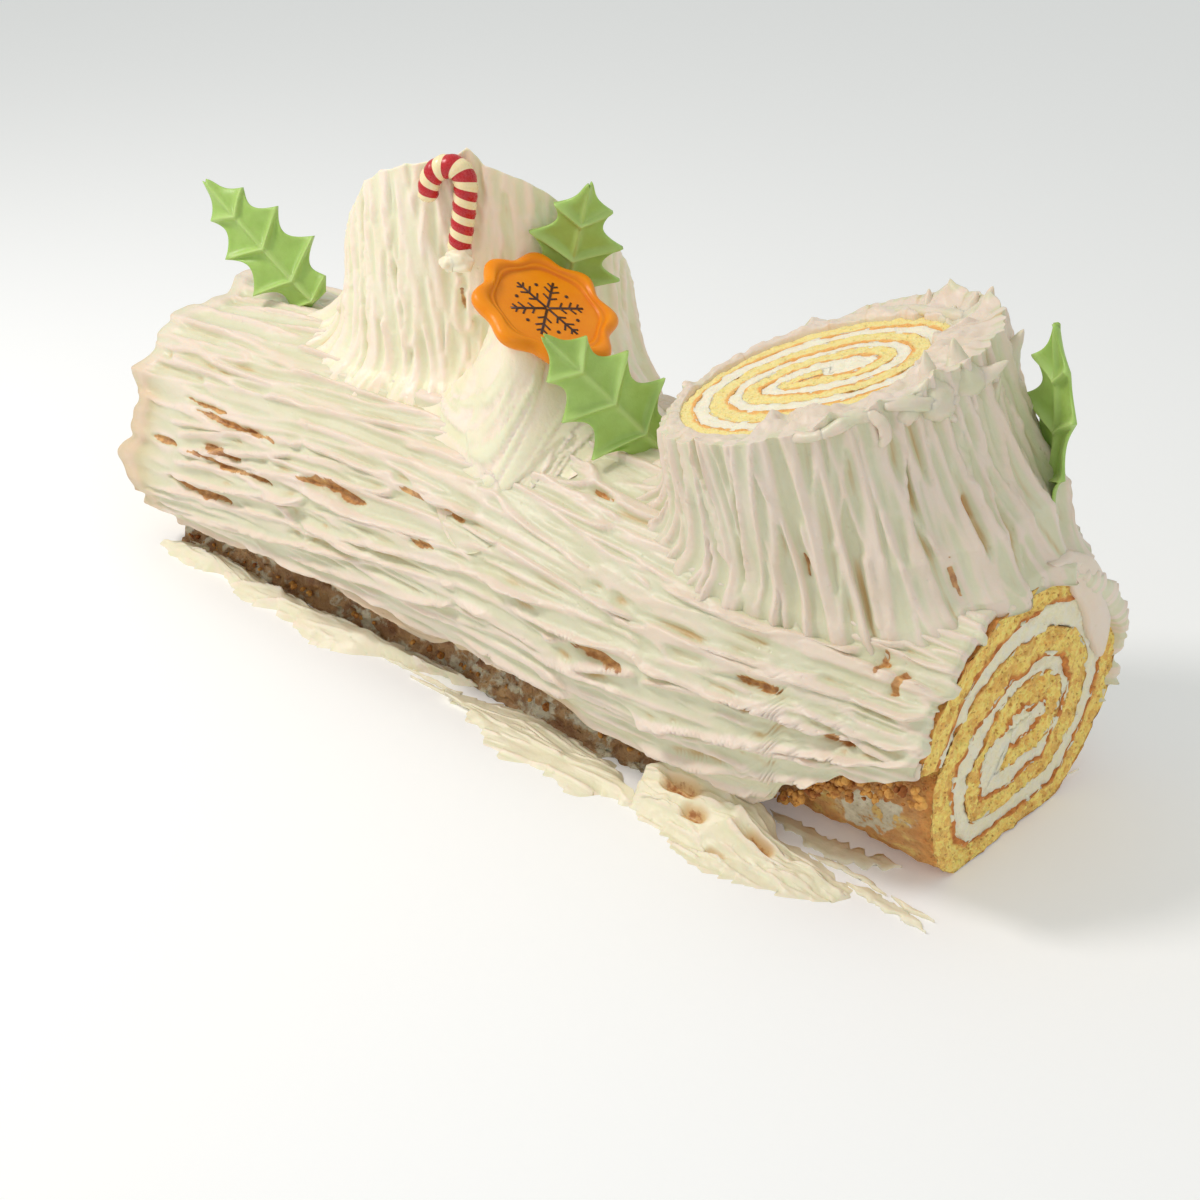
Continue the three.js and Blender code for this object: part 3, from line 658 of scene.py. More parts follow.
def make_roll(name, roll, low, high, finishes, stations, rough, per_turn, browned, seed, soaked_and_shaded=False):
    """The sponge sheet and the filling of one roll: stations are the shares of its length with
    points, per_turn the points round it, and browned is the depth of the sheet's skin."""
    sponge_paint, filling_paint = finishes

    def sheet_outside(t):
        return roll.point(t, RAGGED * rough * grain(t * 47, 2, 0, seed) * smooth(t, 0.8, 1.2))

    def sheet_inside(t):
        return roll.point(t, roll.sheet + RAGGED * rough * grain(t * 41, 1, 0, seed))

    def sponge_relief(at, share):
        return crumb_relief(at, rough, seed) * (0.5 + 0.5 * smooth(np.minimum(share, 1 - share), 0, 0.12))

    turns = np.linspace(0, roll.turns, int(per_turn * roll.turns))
    points, depth = wound_block(roll, turns, low, high, sheet_outside, sheet_inside,
                                SHEET_COLUMNS, stations, sponge_relief)
    outermost = points[:, 0]
    torn = rough_grain(outermost[..., 0] / 4, outermost[..., 1] / 4, outermost[..., 2] / 4, seed + 3)
    middle = roll.at(0 * depth[:, 0], 0 * depth[:, 0], (outermost - roll.origin) @ roll.w)
    points[:, 0] += (middle - outermost) * (0.014 * rough * (1 + torn))[..., None]
    flat, faces, used = block(points)
    x, y, z = flat.T
    depth = depth.reshape(-1)[used]
    wander = 0.09 * rough_grain(x / 4, y / 4, z / 4, seed, 3)
    brown = browned / roll.sheet
    inner = smooth(depth + wander, 1 - brown * 1.4, 1 - brown * 0.7)
    outer = smooth(-depth + wander, -0.09, -0.02)
    marks = {"skin": np.maximum(inner, 0.8 * outer)}
    if soaked_and_shaded:
        # dark brown on the outer face low on the front, under the coat's edge: partly soaking, partly painted
        # shade; cream smeared over parts of it
        front = smooth(-depth, -0.09, -0.02) * smooth(-y, 24, 36)
        soak_and_shade = front * smooth(-z, -60, -30) * smooth(-x, -143, -138)
        soak_and_shade = soak_and_shade * (1 - 0.5 * smooth(x + 9 * grain(x / 9, z / 6, 0, 6), 84, 108))
        torn_off = np.hypot((x - 127) / 11, (z - 17 - 0.25 * (x - 127)) / 8)
        torn_off = 1 - smooth(torn_off + 0.25 * rough_grain(x / 5, z / 5, 0, 12), 0.8, 1.0)
        smear = soak_and_shade * (0.75 + 0.4 * grain(x / 18, z / 4, 0, 8))
        marks |= {"soak_and_shade": soak_and_shade, "smear": np.maximum(smear, 2.2 * front * torn_off)}
    piece(name + "_crumb", flat, faces, sponge_paint, marks, "sponge", [name + "_sponge"])

    overlap = 0.67 * rough
    inner_end, last = roll.turns - LAST_FOLD, roll.turns + JUST_PAST
    turns = np.concatenate([np.linspace(0, inner_end, int(per_turn * inner_end)),
                            np.linspace(inner_end + 1e-4, last, int(per_turn * (last - inner_end)))])

    def filling_outside(t):
        return roll.point(t, np.where(t > roll.turns, 0.4, roll.sheet - overlap))

    def filling_inside(t):
        next_sheet, centre = roll.point(t + 1, overlap), roll.point(t, roll.half[1])
        return [np.where(t <= inner_end, a, b) for a, b in zip(next_sheet, centre)]

    def filling_relief(at, share):
        x, y, z = at[..., 0], at[..., 1], at[..., 2]
        return rough * 0.45 * rough_grain(x / 2.4, y / 2.4, z / 2.4, seed + 40, 3) - 0.25 * rough

    points, _ = wound_block(roll, turns, low, high, filling_outside, filling_inside, FILLING_COLUMNS,
                            stations[[0, len(stations) // 2, -3, -1]], filling_relief)
    flat, faces, _ = block(points)
    piece(name + "_cream_filling", flat, faces, filling_paint, None, "cream", [name + "_filling"])


LOG_STATIONS = np.concatenate([np.linspace(0, 0.66, 20), np.linspace(0.68, 0.965, 52),
                               [0.975, 0.985, 0.993, 1.0]])
STUMP_STATIONS = np.array([0, 0.3, 0.6, 0.8, 0.9, 0.96, 1.0])


def make_rolls(log_finishes, stump_finishes):
    make_roll("log", LOG, square_end(-LOG_HALF), log_cut, log_finishes, LOG_STATIONS,
              rough=1.5, per_turn=140, browned=1.3, seed=3, soaked_and_shaded=True)
    for name, stump, seed in (("right_stump", RIGHT, 11), ("left_stump", LEFT, 10)):
        make_roll(name, stump, square_end(STUMP_FOOT - stump.origin[2]), slanted_cut(stump),
                  stump_finishes, STUMP_STATIONS, rough=0.8, per_turn=136, browned=1.2, seed=seed)


# ---------------------------------------------------------------- cream under the knife

def random_seed(dice):
    return int(dice.integers(1, 10 ** 6))


CREST_REACH = 6            # points over which a crest or a groove is told from the cream round it
GROOVE_REACH = 4
SOFTEN = (0.22, 0.56, 0.22)      # shares of each point and its two neighbours when cream settles


def padded(values, axis, before, after):
    """Values with their first and last row or column repeated."""
    return np.pad(values, [(before, after) if a == axis else (0, 0) for a in (0, 1)], mode="edge")


def local_mean(values, reach):
    """The mean of each point's neighbours, some rows and columns to each side."""
    count = 2 * reach + 1
    for axis in (0, 1):
        total = np.cumsum(padded(values, axis, reach + 1, reach), axis)
        upper = np.take(total, range(count, total.shape[axis]), axis)
        lower = np.take(total, range(0, total.shape[axis] - count), axis)
        values = (upper - lower) / count
    return values


class Spread:
    """Cream as a palette knife leaves it: a height over a patch, worked stroke by stroke.

    along and across are the patch's own coordinates, in millimetres. A stroke presses a trough
    with raised lips and leaves what it pushed along heaped up at its end."""

    def __init__(self, along, across, ground, seed, around=None):
        self.along, self.across, self.around = along, across, around
        self.height = ground.copy()
        self.lean = np.zeros_like(ground)
        self.pull = np.zeros_like(ground)
        self.bare = np.zeros_like(ground)
        self.dice = np.random.default_rng(seed)

    def off_line(self, line, chosen, turned=False):
        along, across = (self.across, self.along) if turned else (self.along, self.across)
        off = across[chosen] - line(along[chosen])
        if self.around and not turned:
            off = (off + self.around / 2) % self.around - self.around / 2
        return off

    def stroke(self, start, end, line, half, level, trough, lip, heap=1.2, fade=9.0, lip_width=0.65,
               heavy=0.0, point=0.0, turned=False):
        """heavy makes the lip on one side taller, point narrows the stroke over that length at its
        start, and turned lays it across the patch."""
        run = self.across if turned else self.along
        way = 1 if end > start else -1
        low, high = min(start, end), max(start, end)
        chosen = np.nonzero((run > low - 3) & (run < high + 4))
        off = self.off_line(line, chosen, turned)
        near = np.abs(off) < half * 1.25 + 2
        chosen = tuple(axis[near] for axis in chosen)
        off = off[near]
        along = run[chosen]
        seed = random_seed(self.dice)
        done = way * (along - start)
        width = half * (1 + 0.22 * grain(along / 23, 0, 0, seed))
        if point:
            width = width * (0.12 + 0.88 * np.clip(done / point, 0, 1) ** 0.7)
        t = off / width
        left = way * (end - along) + 1.2 * grain(off / 2.2, 0, 0, seed + 3) - 0.8 * half * t * t
        side = np.where(t > 0, 1.0, -1.0)
        lips = lip * np.clip(0.6 + 0.6 * grain(along / 14, side * 3.7, 0, seed + 1), 0.05, 1.3)
        lips = lips * (1 + heavy * side)
        ridge = lips * np.exp(-(((np.abs(t) - 1) * width) / lip_width) ** 2)
        rake = 0.08 * grain(off / 0.8, along / 40, 0, seed + 2)
        pressed = level + 0.5 * grain(along / 19, 0, 0, seed + 4) - trough * (1 - np.minimum(t * t, 1)) + rake
        heaped = heap * smooth(-left, -6.0, -0.6)
        inside = 1 - smooth((np.abs(t) - 1) * width, -0.35, 0.4)
        share = inside * smooth(done, 0, fade) * smooth(left, -1.5, 1.3)
        old = self.height[chosen]
        self.height[chosen] = mix(old, pressed + ridge + heaped, share)
        outside = ridge * (1 - inside) * smooth(done, 0, fade) * smooth(left, -1.5, 1.0)
        self.height[chosen] = np.maximum(self.height[chosen], np.minimum(old, level) + outside)
        leaning = np.maximum(share, (1 - inside) * smooth(left, -1.5, 1.0) * (outside > 0.2))
        sideways, lengthways = (self.pull, self.lean) if turned else (self.lean, self.pull)
        sideways[chosen] = mix(sideways[chosen], side * np.minimum(0.45 * ridge, 0.8), leaning)
        lengthways[chosen] = mix(lengthways[chosen], way * np.minimum(0.4 * heaped, 0.9), share)
        self.bare[chosen] *= 1 - share

    def settle(self):
        """Round off what is finer than the mesh can show."""
        for values in (self.height, self.lean, self.pull):
            for axis in (0, 1):
                wider = padded(values, axis, 1, 1)
                count = values.shape[axis]
                values[:] = sum(weight * np.take(wider, range(n, n + count), axis)
                                for n, weight in enumerate(SOFTEN))

    def scrape(self, start, end, line, half, depth):
        """A narrow place where the cream is torn or scraped off, down to the cake."""
        chosen = np.nonzero((self.along > start - 2) & (self.along < end + 2))
        off = self.off_line(line, chosen)
        along = self.along[chosen]
        seed = random_seed(self.dice)
        middle, reach = (start + end) / 2, (end - start) / 2
        taper = np.sqrt(np.clip(1 - ((along - middle) / reach) ** 2, 0, 1))
        width = half * taper * (1 + 0.4 * grain(along / 3, 0, 0, seed)) + 1e-3
        edge = np.abs(off + 0.4 * grain(along / 4, 0, 0, seed + 1)) / width
        inside = 1 - smooth(edge, 0.75, 1.1)
        torn = 0.5 * grain(along / 1.2, off / 1.2, 0, seed + 2)
        self.height[chosen] = mix(self.height[chosen], self.height[chosen] - depth + torn, inside)
        self.lean[chosen] *= 1 - inside
        self.pull[chosen] *= 1 - inside
        self.bare[chosen] = np.maximum(self.bare[chosen], inside)

    def marks(self):
        """What steers the colours: the hollow mark is 1 at the bottom of a tight groove, where tan is
        painted, partly for the cake showing through and partly as painted shade; the crest mark is 0 in a
        trough, which is painted in shade, and 1 on the top of a ridge, which is painted with a highlight; and
        the bare mark is 1 where the cake shows."""
        over = self.height - local_mean(self.height, CREST_REACH)
        under = local_mean(self.height, GROOVE_REACH) - self.height
        return {"hollow": smooth(under, 0.5, 1.7), "bare": self.bare,
                "crest": np.clip(0.5 + over / 2.0, 0, 1)}


def wandering(across, slope, origin, sway, seed, reach=45.0):
    """The line of a stroke: nearly straight, drifting a little to either side."""
    def line(along):
        return across + slope * (along - origin) + sway * grain(along / reach, 0, 0, seed)
    return line


# ---------------------------------------------------------------- the log's coat

LOG_COAT = 7.6             # thickness along the middle, at the right end and at the left end
LOG_COAT_RIGHT = 2.6
LOG_COAT_LEFT = 7.0
FLAP_AT = 0.75             # direction, round the cut, of the flap of cream over its edge
# Heights of the coat's lower edges, at places along the log.
FRONT_EDGE = [(-155, 13), (-134, 12), (-112, 14.5), (-60, 17.5), (-16, 19), (30, 14.5), (50, 9.6), (80, 8.8),
              (98, 9.8), (104, 14), (111, 23), (121, 30), (150, 41)]
BACK_EDGE = [(-155, 12), (-90, 9), (-20, 13), (50, 10), (110, 12), (150, 22)]

# Places where the cake shows through: x, degrees from +Y over the top, length and half width.
LOG_SCRAPES = [
    (-114, 146.5, 19, 0.8), (-99, 150, 38, 0.9), (-131, 166.6, 13, 1.0), (-102, 161, 18, 1.3),
    (-97, 164.7, 40, 1.0), (-112, 179, 31, 1.5), (-53, 157, 28, 1.7), (-22, 147.2, 11, 0.9),
    (-7, 148.5, 9, 0.9), (-14, 162, 8, 0.8), (35, 124, 8, 0.9), (51, 174.3, 18, 1.2),
    (97, 170.3, 10, 1.1), (100, 161.6, 13, 1.2), (124, 169.5, 9, 1.3), (122, 177, 7, 0.9),
    (128, 141, 2.4, 3.2), (134.5, 144.5, 2.6, 4.4),
]


def edge_height(edge, x):
    return np.interp(x, [place for place, _ in edge], [height for _, height in edge])


def log_thickness(x):
    return (LOG_COAT + (LOG_COAT_RIGHT - LOG_COAT) * smooth(x, 70, 143)
            + (LOG_COAT_LEFT - LOG_COAT) * smooth(-x, 120, 146))


def arc_table():
    """Arc length over the coat for angles from the back edge over the top to the front edge."""
    angle = np.linspace(-0.9, 4.1, 2000)
    y, z = LOG.oval(angle, LOG_COAT)
    steps = np.hypot(np.diff(y), np.diff(z))
    return angle, np.concatenate([[0], np.cumsum(steps)])


ARC_ANGLE, ARC_LENGTH = arc_table()


def arc_at(angle):
    return np.interp(angle, ARC_ANGLE, ARC_LENGTH)


LOG_BODY_COLUMNS = 244     # points along the coat, round it, under its edges and in over its ends
LOG_ROWS = 330
UNDER_ROWS = 9
END_COLUMNS = 13


def log_grid():
    """The coat's own coordinates: places along the log, and angles from the back edge to the front."""
    x = np.linspace(-LOG_HALF, LOG_HALF, LOG_BODY_COLUMNS)
    x = np.concatenate([np.full(END_COLUMNS, x[0]), x, np.full(END_COLUMNS, x[-1])])
    share = np.linspace(0, 1, LOG_ROWS)
    share = share + 0.1 * np.sin(math.pi * share)      # closer rows towards the front
    share = np.concatenate([np.zeros(UNDER_ROWS), share, np.ones(UNDER_ROWS)])
    return x[:, None], share[None, :]


# The main strokes on the front: from x and degrees over the top, to x and degrees, and half width.
LOG_MARKS = [
    (-90, 132.2, -13, 119.9, 3.0), (-72, 135.6, -4, 133.3, 3.7), (-68, 142.1, 2, 142.6, 3.5),
    (-125, 153.7, -70, 142.6, 2.8), (-120, 162.9, -75, 149.3, 2.6), (-122, 175.2, -64, 162.0, 3.0),
    (-127, 182.5, -69, 173.7, 3.4), (-138, 192.2, -63, 178.4, 3.2), (-57, 169.2, 3, 160.4, 2.6),
    (-71, 187.1, 0, 173.7, 3.0), (-30, 128.1, 28, 120.4, 4.0), (-25, 135.8, 3, 136.4, 3.0),
    (-23, 140.5, 45, 145.9, 3.6), (5, 129.9, 43, 133.2, 2.4), (2, 147.9, 50, 153.8, 2.6),
    (10, 137.1, 61, 148.1, 3.0), (2, 158.3, 52, 158.8, 3.4), (2, 187.6, 39, 192.2, 3.0),
    (14, 159.0, 73, 165.5, 4.0), (22, 166.9, 63, 164.2, 2.0), (33, 178.7, 64, 169.7, 2.6),
    (69, 141.8, 98, 143.2, 2.2), (61, 156.6, 101, 152.4, 2.6), (45, 150.1, 103, 156.5, 3.4),
    (84, 140.4, 120, 136.8, 3.6), (62, 154.6, 113, 150.2, 3.0), (70, 169.9, 104, 163.2, 3.6),
    (65, 198.4, 119, 183.2, 3.6), (66, 182.4, 144, 163.9, 4.8), (64, 162.7, 127, 162.4, 4.0),
    (129, 162.9, 144, 164.8, 3.0), (111, 158.2, 141, 159.4, 4.0), (102, 150.4, 144, 148.2, 5.5),
]
# Which way the other strokes slope over the front, as places along the log and slopes.
LOG_SLOPES = [(-140, -0.2), (-90, -0.16), (-40, -0.03), (20, 0.08), (60, 0.08), (100, -0.03), (140, -0.12)]


# Layers of strokes: how many, shortest and longest, narrowest and widest half, trough, lip and heap.
LOG_LAYERS = [
    (56, 100, 240, 3.2, 5.6, 2.5, 2.3, 1.4),
    (56, 60, 150, 2.4, 4.4, 2.4, 2.5, 1.6),
    (18, 24, 60, 1.8, 2.8, 1.5, 1.9, 1.6),
]
END_BAND_AT = -143.5       # the band of cream turned round the left end


def lay_log_strokes(cream, back, front):
    dice = cream.dice
    lowest, highest = arc_at(back.min()), arc_at(front.max())
    for count, shortest, longest, thin, wide, trough, lip, heap in LOG_LAYERS:
        places = lowest + (highest - lowest) * (dice.permutation(count) + dice.random(count)) / count
        for across in places:
            length = dice.uniform(shortest, longest)
            start = dice.uniform(-LOG_HALF - 25, LOG_HALF + 12 - length * 0.6)
            end = start + length
            middle = (start + end) / 2
            slope = edge_height(LOG_SLOPES, middle) * float(smooth(across, lowest + 60, lowest + 120))
            if dice.random() < 0.35:
                start, end = end, start
            line = wandering(across, slope + dice.normal(0.0, 0.03), middle,
                             dice.uniform(0.6, 2.4), random_seed(dice))
            cream.stroke(start, end, line, dice.uniform(thin, wide), dice.uniform(-1.0, 0.9),
                         trough * dice.uniform(0.6, 1.2), lip * dice.uniform(0.5, 1.3),
                         heap * dice.uniform(0.3, 1.2), fade=14.0, lip_width=dice.uniform(0.6, 1.0),
                         heavy=0.45 * float(smooth(across, lowest + 70, lowest + 130)),
                         point=dice.uniform(0, 16))
    line = wandering(END_BAND_AT, 0, 0, 2.0, 77)
    cream.stroke(lowest - 8, highest + 8, line, 3.6, 0.2, 0.6, 0.9, 0.4, turned=True)
    for x0, degrees0, x1, degrees1, half in LOG_MARKS:
        across0, across1 = arc_at(math.radians(degrees0)), arc_at(math.radians(degrees1))
        x0, x1, slope = x0 - 6, x1 + 2, (across1 - across0) / (x1 - x0)
        line = wandering(across0, slope, x0 + 6, 0.9, random_seed(dice))
        bold = 1 + 0.4 * float(smooth(x1, 40, 90))
        cream.stroke(x0, x1, line, half, dice.uniform(-0.2, 0.9), bold * dice.uniform(1.8, 2.7),
                     bold * dice.uniform(2.0, 3.0), bold * dice.uniform(1.0, 2.2), fade=10.0,
                     lip_width=dice.uniform(0.6, 1.0), heavy=0.4, point=dice.uniform(0, 10))


def make_log_coat(finish):
    """The coat along the log, with its torn lower edges and its laps over both ends."""
    x, share = log_grid()
    thick = log_thickness(x)
    back = np.arcsin((edge_height(BACK_EDGE, x) - LOG_Z + 1.5 * grain(x / 13, 5)) / (LOG_HIGH + thick))
    front = math.pi - np.arcsin((edge_height(FRONT_EDGE, x) - LOG_Z + 1.2 * grain(x / 9, 9)
                                 + 0.7 * grain(x / 3.5, 12)) / (LOG_HIGH + thick))
    level_back, level_front = back.mean(), front.mean()
    angle = (mix(level_back, level_front, share) + (front - level_front) * smooth(share, 0.6, 1)
             + (back - level_back) * (1 - smooth(share, 0, 0.3)))
    across = arc_at(angle)
    along = np.broadcast_to(x, across.shape)
    cream = Spread(along, across, -1.6 + 0.6 * grain(along / 12, across / 2.2, 0, 3), 11)
    lay_log_strokes(cream, back, front)
    for place, degrees, length, half in LOG_SCRAPES:
        line = wandering(arc_at(math.radians(degrees)), 0, place, 0.7, place % 97 + 120, 14)
        cream.scrape(place - length / 2, place + length / 2, line, half, 2.2)
    cream.settle()
    calm = 1 - 0.35 * smooth(x, 124, 146)
    near_front = smooth(across, arc_at(front) - 7, arc_at(front) - 1)
    near_back = smooth(-across, -arc_at(back) - 7, -arc_at(back) - 1)
    extra = cream.height * calm - 0.8 * (near_front + near_back)
    skimmed = 1.8 * bump(angle, 0.9, 0.7) * smooth(x, 90, 140)
    lumpy_end = 2.0 * rough_grain(across / 8, 9, 0, 67, 2) * smooth(-x, 118, 142)
    surface = thick * (1 - 0.12 * smooth(angle, 3.2, 3.8)) + extra - skimmed + lumpy_end

    rows = across.shape[1]
    row = np.arange(rows)[None, :]
    tuck_back = np.clip((UNDER_ROWS - row) / UNDER_ROWS, 0, 1)
    tuck_front = np.clip((row - (rows - 1 - UNDER_ROWS)) / UNDER_ROWS, 0, 1)
    tuck = np.maximum(tuck_back, tuck_front)
    c = mix(surface - 1.6 * smooth(tuck, 0, 0.3), -0.5, smooth(tuck, 0.35, 1))
    angle = angle + 0.1 * (smooth(tuck_back, 0.15, 1) - smooth(tuck_front, 0.15, 1))

    column = np.arange(x.shape[0])[:, None]
    right = np.clip((column - (x.shape[0] - 1 - END_COLUMNS)) / END_COLUMNS, 0, 1)
    left = np.clip((END_COLUMNS - column) / END_COLUMNS, 0, 1)
    flap = np.exp(-((angle - FLAP_AT) / 0.62) ** 4)
    torn = 1 - 0.85 * flap
    spikes = np.clip(grain(across / 1.6, 7.3, 0, 61), 0, 1) ** 2 * 3.0
    overhang = 3.4 * flap - 1.2 + (1.4 * grain(across / 4, 2, 0, 62) + spikes) * torn
    lap = (15.5 * flap - 9 + 1.2 * grain(across / 3, 4, 0, 63) * torn
           + 0.5 * flap * grain(across / 9, 5, 0, 66))
    left_lap = 8 + 1.5 * np.sin(3 * angle) + 1.5 * grain(across / 9, 8, 0, 64)
    c = mix(c, -np.maximum(lap, 2.2), right ** 1.1)
    c = mix(c, -np.maximum(left_lap, 0.5), left ** 1.1)
    y, z = LOG.oval(angle, c)
    reach_right = smooth(x, 126, LOG_HALF) * overhang
    reach_left = smooth(-x, 130, LOG_HALF) * (3.0 + 3.4 * rough_grain(across / 9, 3, 0, 65, 2))
    slant = smooth(x, 60, LOG_HALF) * LOG_SLANT * y
    bulge = np.sin(math.pi * np.clip(right * 1.15, 0, 1)) * 0.9 - smooth(right, 0.8, 1) * (reach_right + 0.6)
    bulge_left = np.sin(math.pi * np.clip(left * 1.1, 0, 1)) * 1.3 - smooth(left, 0.7, 1) * (reach_left + 0.6)
    free = (1 - tuck) * (1 - right) * (1 - left)
    px = x + slant + reach_right - reach_left + bulge - bulge_left + cream.pull * free
    # lean the crests along the surface, towards the front or the back
    ty, tz = -np.sin(angle) * (LOG_WIDE + 6), np.cos(angle) * (LOG_HIGH + 6)
    length = np.hypot(ty, tz)
    y = y + cream.lean * free * ty / length
    z = z + cream.lean * free * tz / length
    points = np.stack([np.broadcast_to(px, y.shape), y + LOG_Y, np.maximum(z + LOG_Z, 0.4)], -1)
    faces = quads(np.arange(y.size).reshape(y.shape))
    # the groove tan also painted along the coat's lower front edge, from the left end to past the middle, and
    # over the front near the left end
    warm = 0.55 * near_front * smooth(-x, -70, -30) + 0.5 * smooth(-x, 128, 143) * smooth(across, 150, 178)
    marks = cream.marks()
    marks["hollow"] = np.maximum(marks["hollow"], warm)
    piece("log_cream", points, faces, finish, marks, "cream", ["cream_coat"])


# The flap's inner and outer edges, as y and z, and its points along them and between them.
FLAP_INNER = [(1, 77.5), (5.8, 74), (11, 68), (17.9, 59), (24.6, 48), (30.4, 39)]
FLAP_OUTER = [(8, 79), (19, 73), (26.5, 64), (32, 53), (33.5, 45), (32.8, 38.5)]
FLAP_POINTS = (60, 24)


def make_flap(finish):
    """A smooth band of cream hanging over the upper back edge of the log's cut."""
    inner, outer = (curve_through(edge, FLAP_POINTS[0])[0] for edge in (FLAP_INNER, FLAP_OUTER))
    share = np.linspace(0, 1, FLAP_POINTS[1])[None, :, None]
    length = np.linspace(0, 1, FLAP_POINTS[0])[:, None, None]
    edge = 0.35 * grain(np.arange(FLAP_POINTS[0]) / 7.0, 3, 0, 68)[:, None, None] * (1 - share)
    y = mix(inner[:, None, :1], outer[:, None, :1], share) - edge
    z = mix(inner[:, None, 1:], outer[:, None, 1:], share) - edge
    across = np.sin(math.pi * share) ** 0.5
    ends = np.sin(math.pi * length) ** 0.35
    stand = (1.9 * across + 0.5 * smooth(share, 0.1, 0.5) + 0.25 * grain(share * 5, length * 3, 0, 69)) * ends
    over = np.array([0.0, 1.0])[None, None, :]
    x = LOG_HALF + LOG_SLANT * (y - LOG_Y) - 1.5 + (1.9 + stand) * over
    flat, faces, _ = block(np.stack(np.broadcast_arrays(x, y, z), -1))
    # no groove tan, and a fixed share of painted highlight
    piece("cut_flap_cream", flat, faces, finish, {"hollow": 0, "bare": 0, "crest": 0.7}, "cream",
          ["cream_coat"])


# ---------------------------------------------------------------- the stumps' coats

APRON_ROWS = 30            # points down the apron on the log, up the wall and in over the rim
WALL_ROWS = 104
RIM_ROWS = 30
APRON_END = 141            # how far along the log an apron may run
APRON_ROUND = 49.5         # the log's radius under the aprons
APRON_SINK = 2.4           # how deep an apron's edge goes into the log's coat
BARE_DIP = 0.9             # how deep the coat's edge lies under the cut where the rim is bare


def log_halves(x):
    """Half width and half height of the log with its coat, at some place along it."""
    coat = log_thickness(x) - 1.5 * smooth(x, 95, 135)
    return LOG_WIDE + coat, LOG_HIGH + coat


def log_top(x, y):
    """Height of the log's coat at some place along it and across it."""
    wide, high = log_halves(x)
    return LOG_Z + high * np.sqrt(np.clip(1 - ((y - LOG_Y) / wide) ** 2, 0, 1))


def foot_of_wall(roll, angle, body, low, high):
    """Height along the stump at which its wall comes out of the log's coat, all the way round."""
    heights = np.linspace(low, high, 160)[:, None]
    at = roll.at(*roll.oval(angle, body(heights)), heights)
    over = at[..., 2] - log_top(at[..., 0], at[..., 1])
    first = np.maximum(np.argmax(over >= 0, axis=0), 1)
    column = np.arange(over.shape[1])
    below, above = over[first - 1, column], over[first, column]
    part = np.clip(-below / (above - below + 1e-9), 0, 1)
    return mix(heights[first - 1, 0], heights[first, 0], part)[None, :]


def lay_stump_strokes(cream, arc, stump_tall, middle, strokes, sway, scrapes, seed):
    """Strokes of each kind round a stump: flutes run down it over the log, rising and falling ones
    start part of the way, and dabs are short. stump_tall is its height at each place of arc."""
    dice = cream.dice
    around = TURN * middle
    for count, kind, thin, wide, trough, lip_high in strokes:
        for place in around * (dice.permutation(count) + dice.random(count)) / count:
            local = float(np.interp(place, arc, stump_tall))
            start, end, point, heap = {
                "flute": (local + 12, dice.uniform(-18, -5), 0.0, 0.3),
                "rising": (dice.uniform(-6, 0.6 * local), local + 12, dice.uniform(12, 26), 0.0),
                "falling": (local - dice.uniform(0, 0.5) * local, -20, dice.uniform(8, 20), 0.3),
                "dab": (dice.uniform(0.3, 1.0) * local, dice.uniform(-4, 0.4 * local), 4.0, 1.3),
            }[kind]
            line = wandering(place, dice.normal(0, sway), stump_tall.max() / 2,
                             dice.uniform(0.6, 2.6), random_seed(dice), 34)
            cream.stroke(start, end, line, dice.uniform(thin, wide), dice.uniform(-0.6, 0.5),
                         trough * dice.uniform(0.7, 1.2), lip_high * dice.uniform(0.6, 1.3),
                         heap * dice.uniform(0.4, 1.2), fade=4.0, lip_width=dice.uniform(0.55, 0.85),
                         point=point)
    for high, degrees, long, half in scrapes:
        line = wandering(math.radians(degrees) * middle, 0, high, 0.4, seed + int(high) + 90, 9)
        cream.scrape(high - long / 2, high + long / 2, line, half, 1.6)


def lay_apron(foot, axis, length, far):
    """Rows of points from a stump's foot out along the log's coat and down into it, and the way
    that coat faces at each point of the foot. far is 1 at the apron's edge and 0 at the foot."""
    wide, tall = log_halves(foot[:, 0])
    foot_y, foot_z = foot[:, 1] - LOG_Y, foot[:, 2] - LOG_Z
    turn = np.arctan2(foot_z / tall, foot_y / wide)
    over = np.hypot(foot_z, foot_y) - np.hypot(tall * np.sin(turn), wide * np.cos(turn))
    heading = units(foot[:, :2] - axis[:, :2])
    room = np.where(heading[:, 0] > 0.05, (APRON_END - foot[:, 0]) / np.maximum(heading[:, 0], 0.05), 99.0)
    reach = np.minimum(length, np.maximum(room, 1.5)) * far
    spin = turn - heading[:, 1] * reach / APRON_ROUND
    sink = mix(over, -APRON_SINK, smooth(far, 0, 1) ** 0.8) - 0.6 * np.sin(math.pi * far)
    x = foot[:, 0] + heading[:, 0] * reach
    wide, tall = log_halves(x)
    apron = np.stack([x, LOG_Y + (wide + sink) * np.cos(spin), LOG_Z + (tall + sink) * np.sin(spin)], -1)
    return apron, np.stack([0 * turn, np.cos(turn), np.sin(turn)], -1)


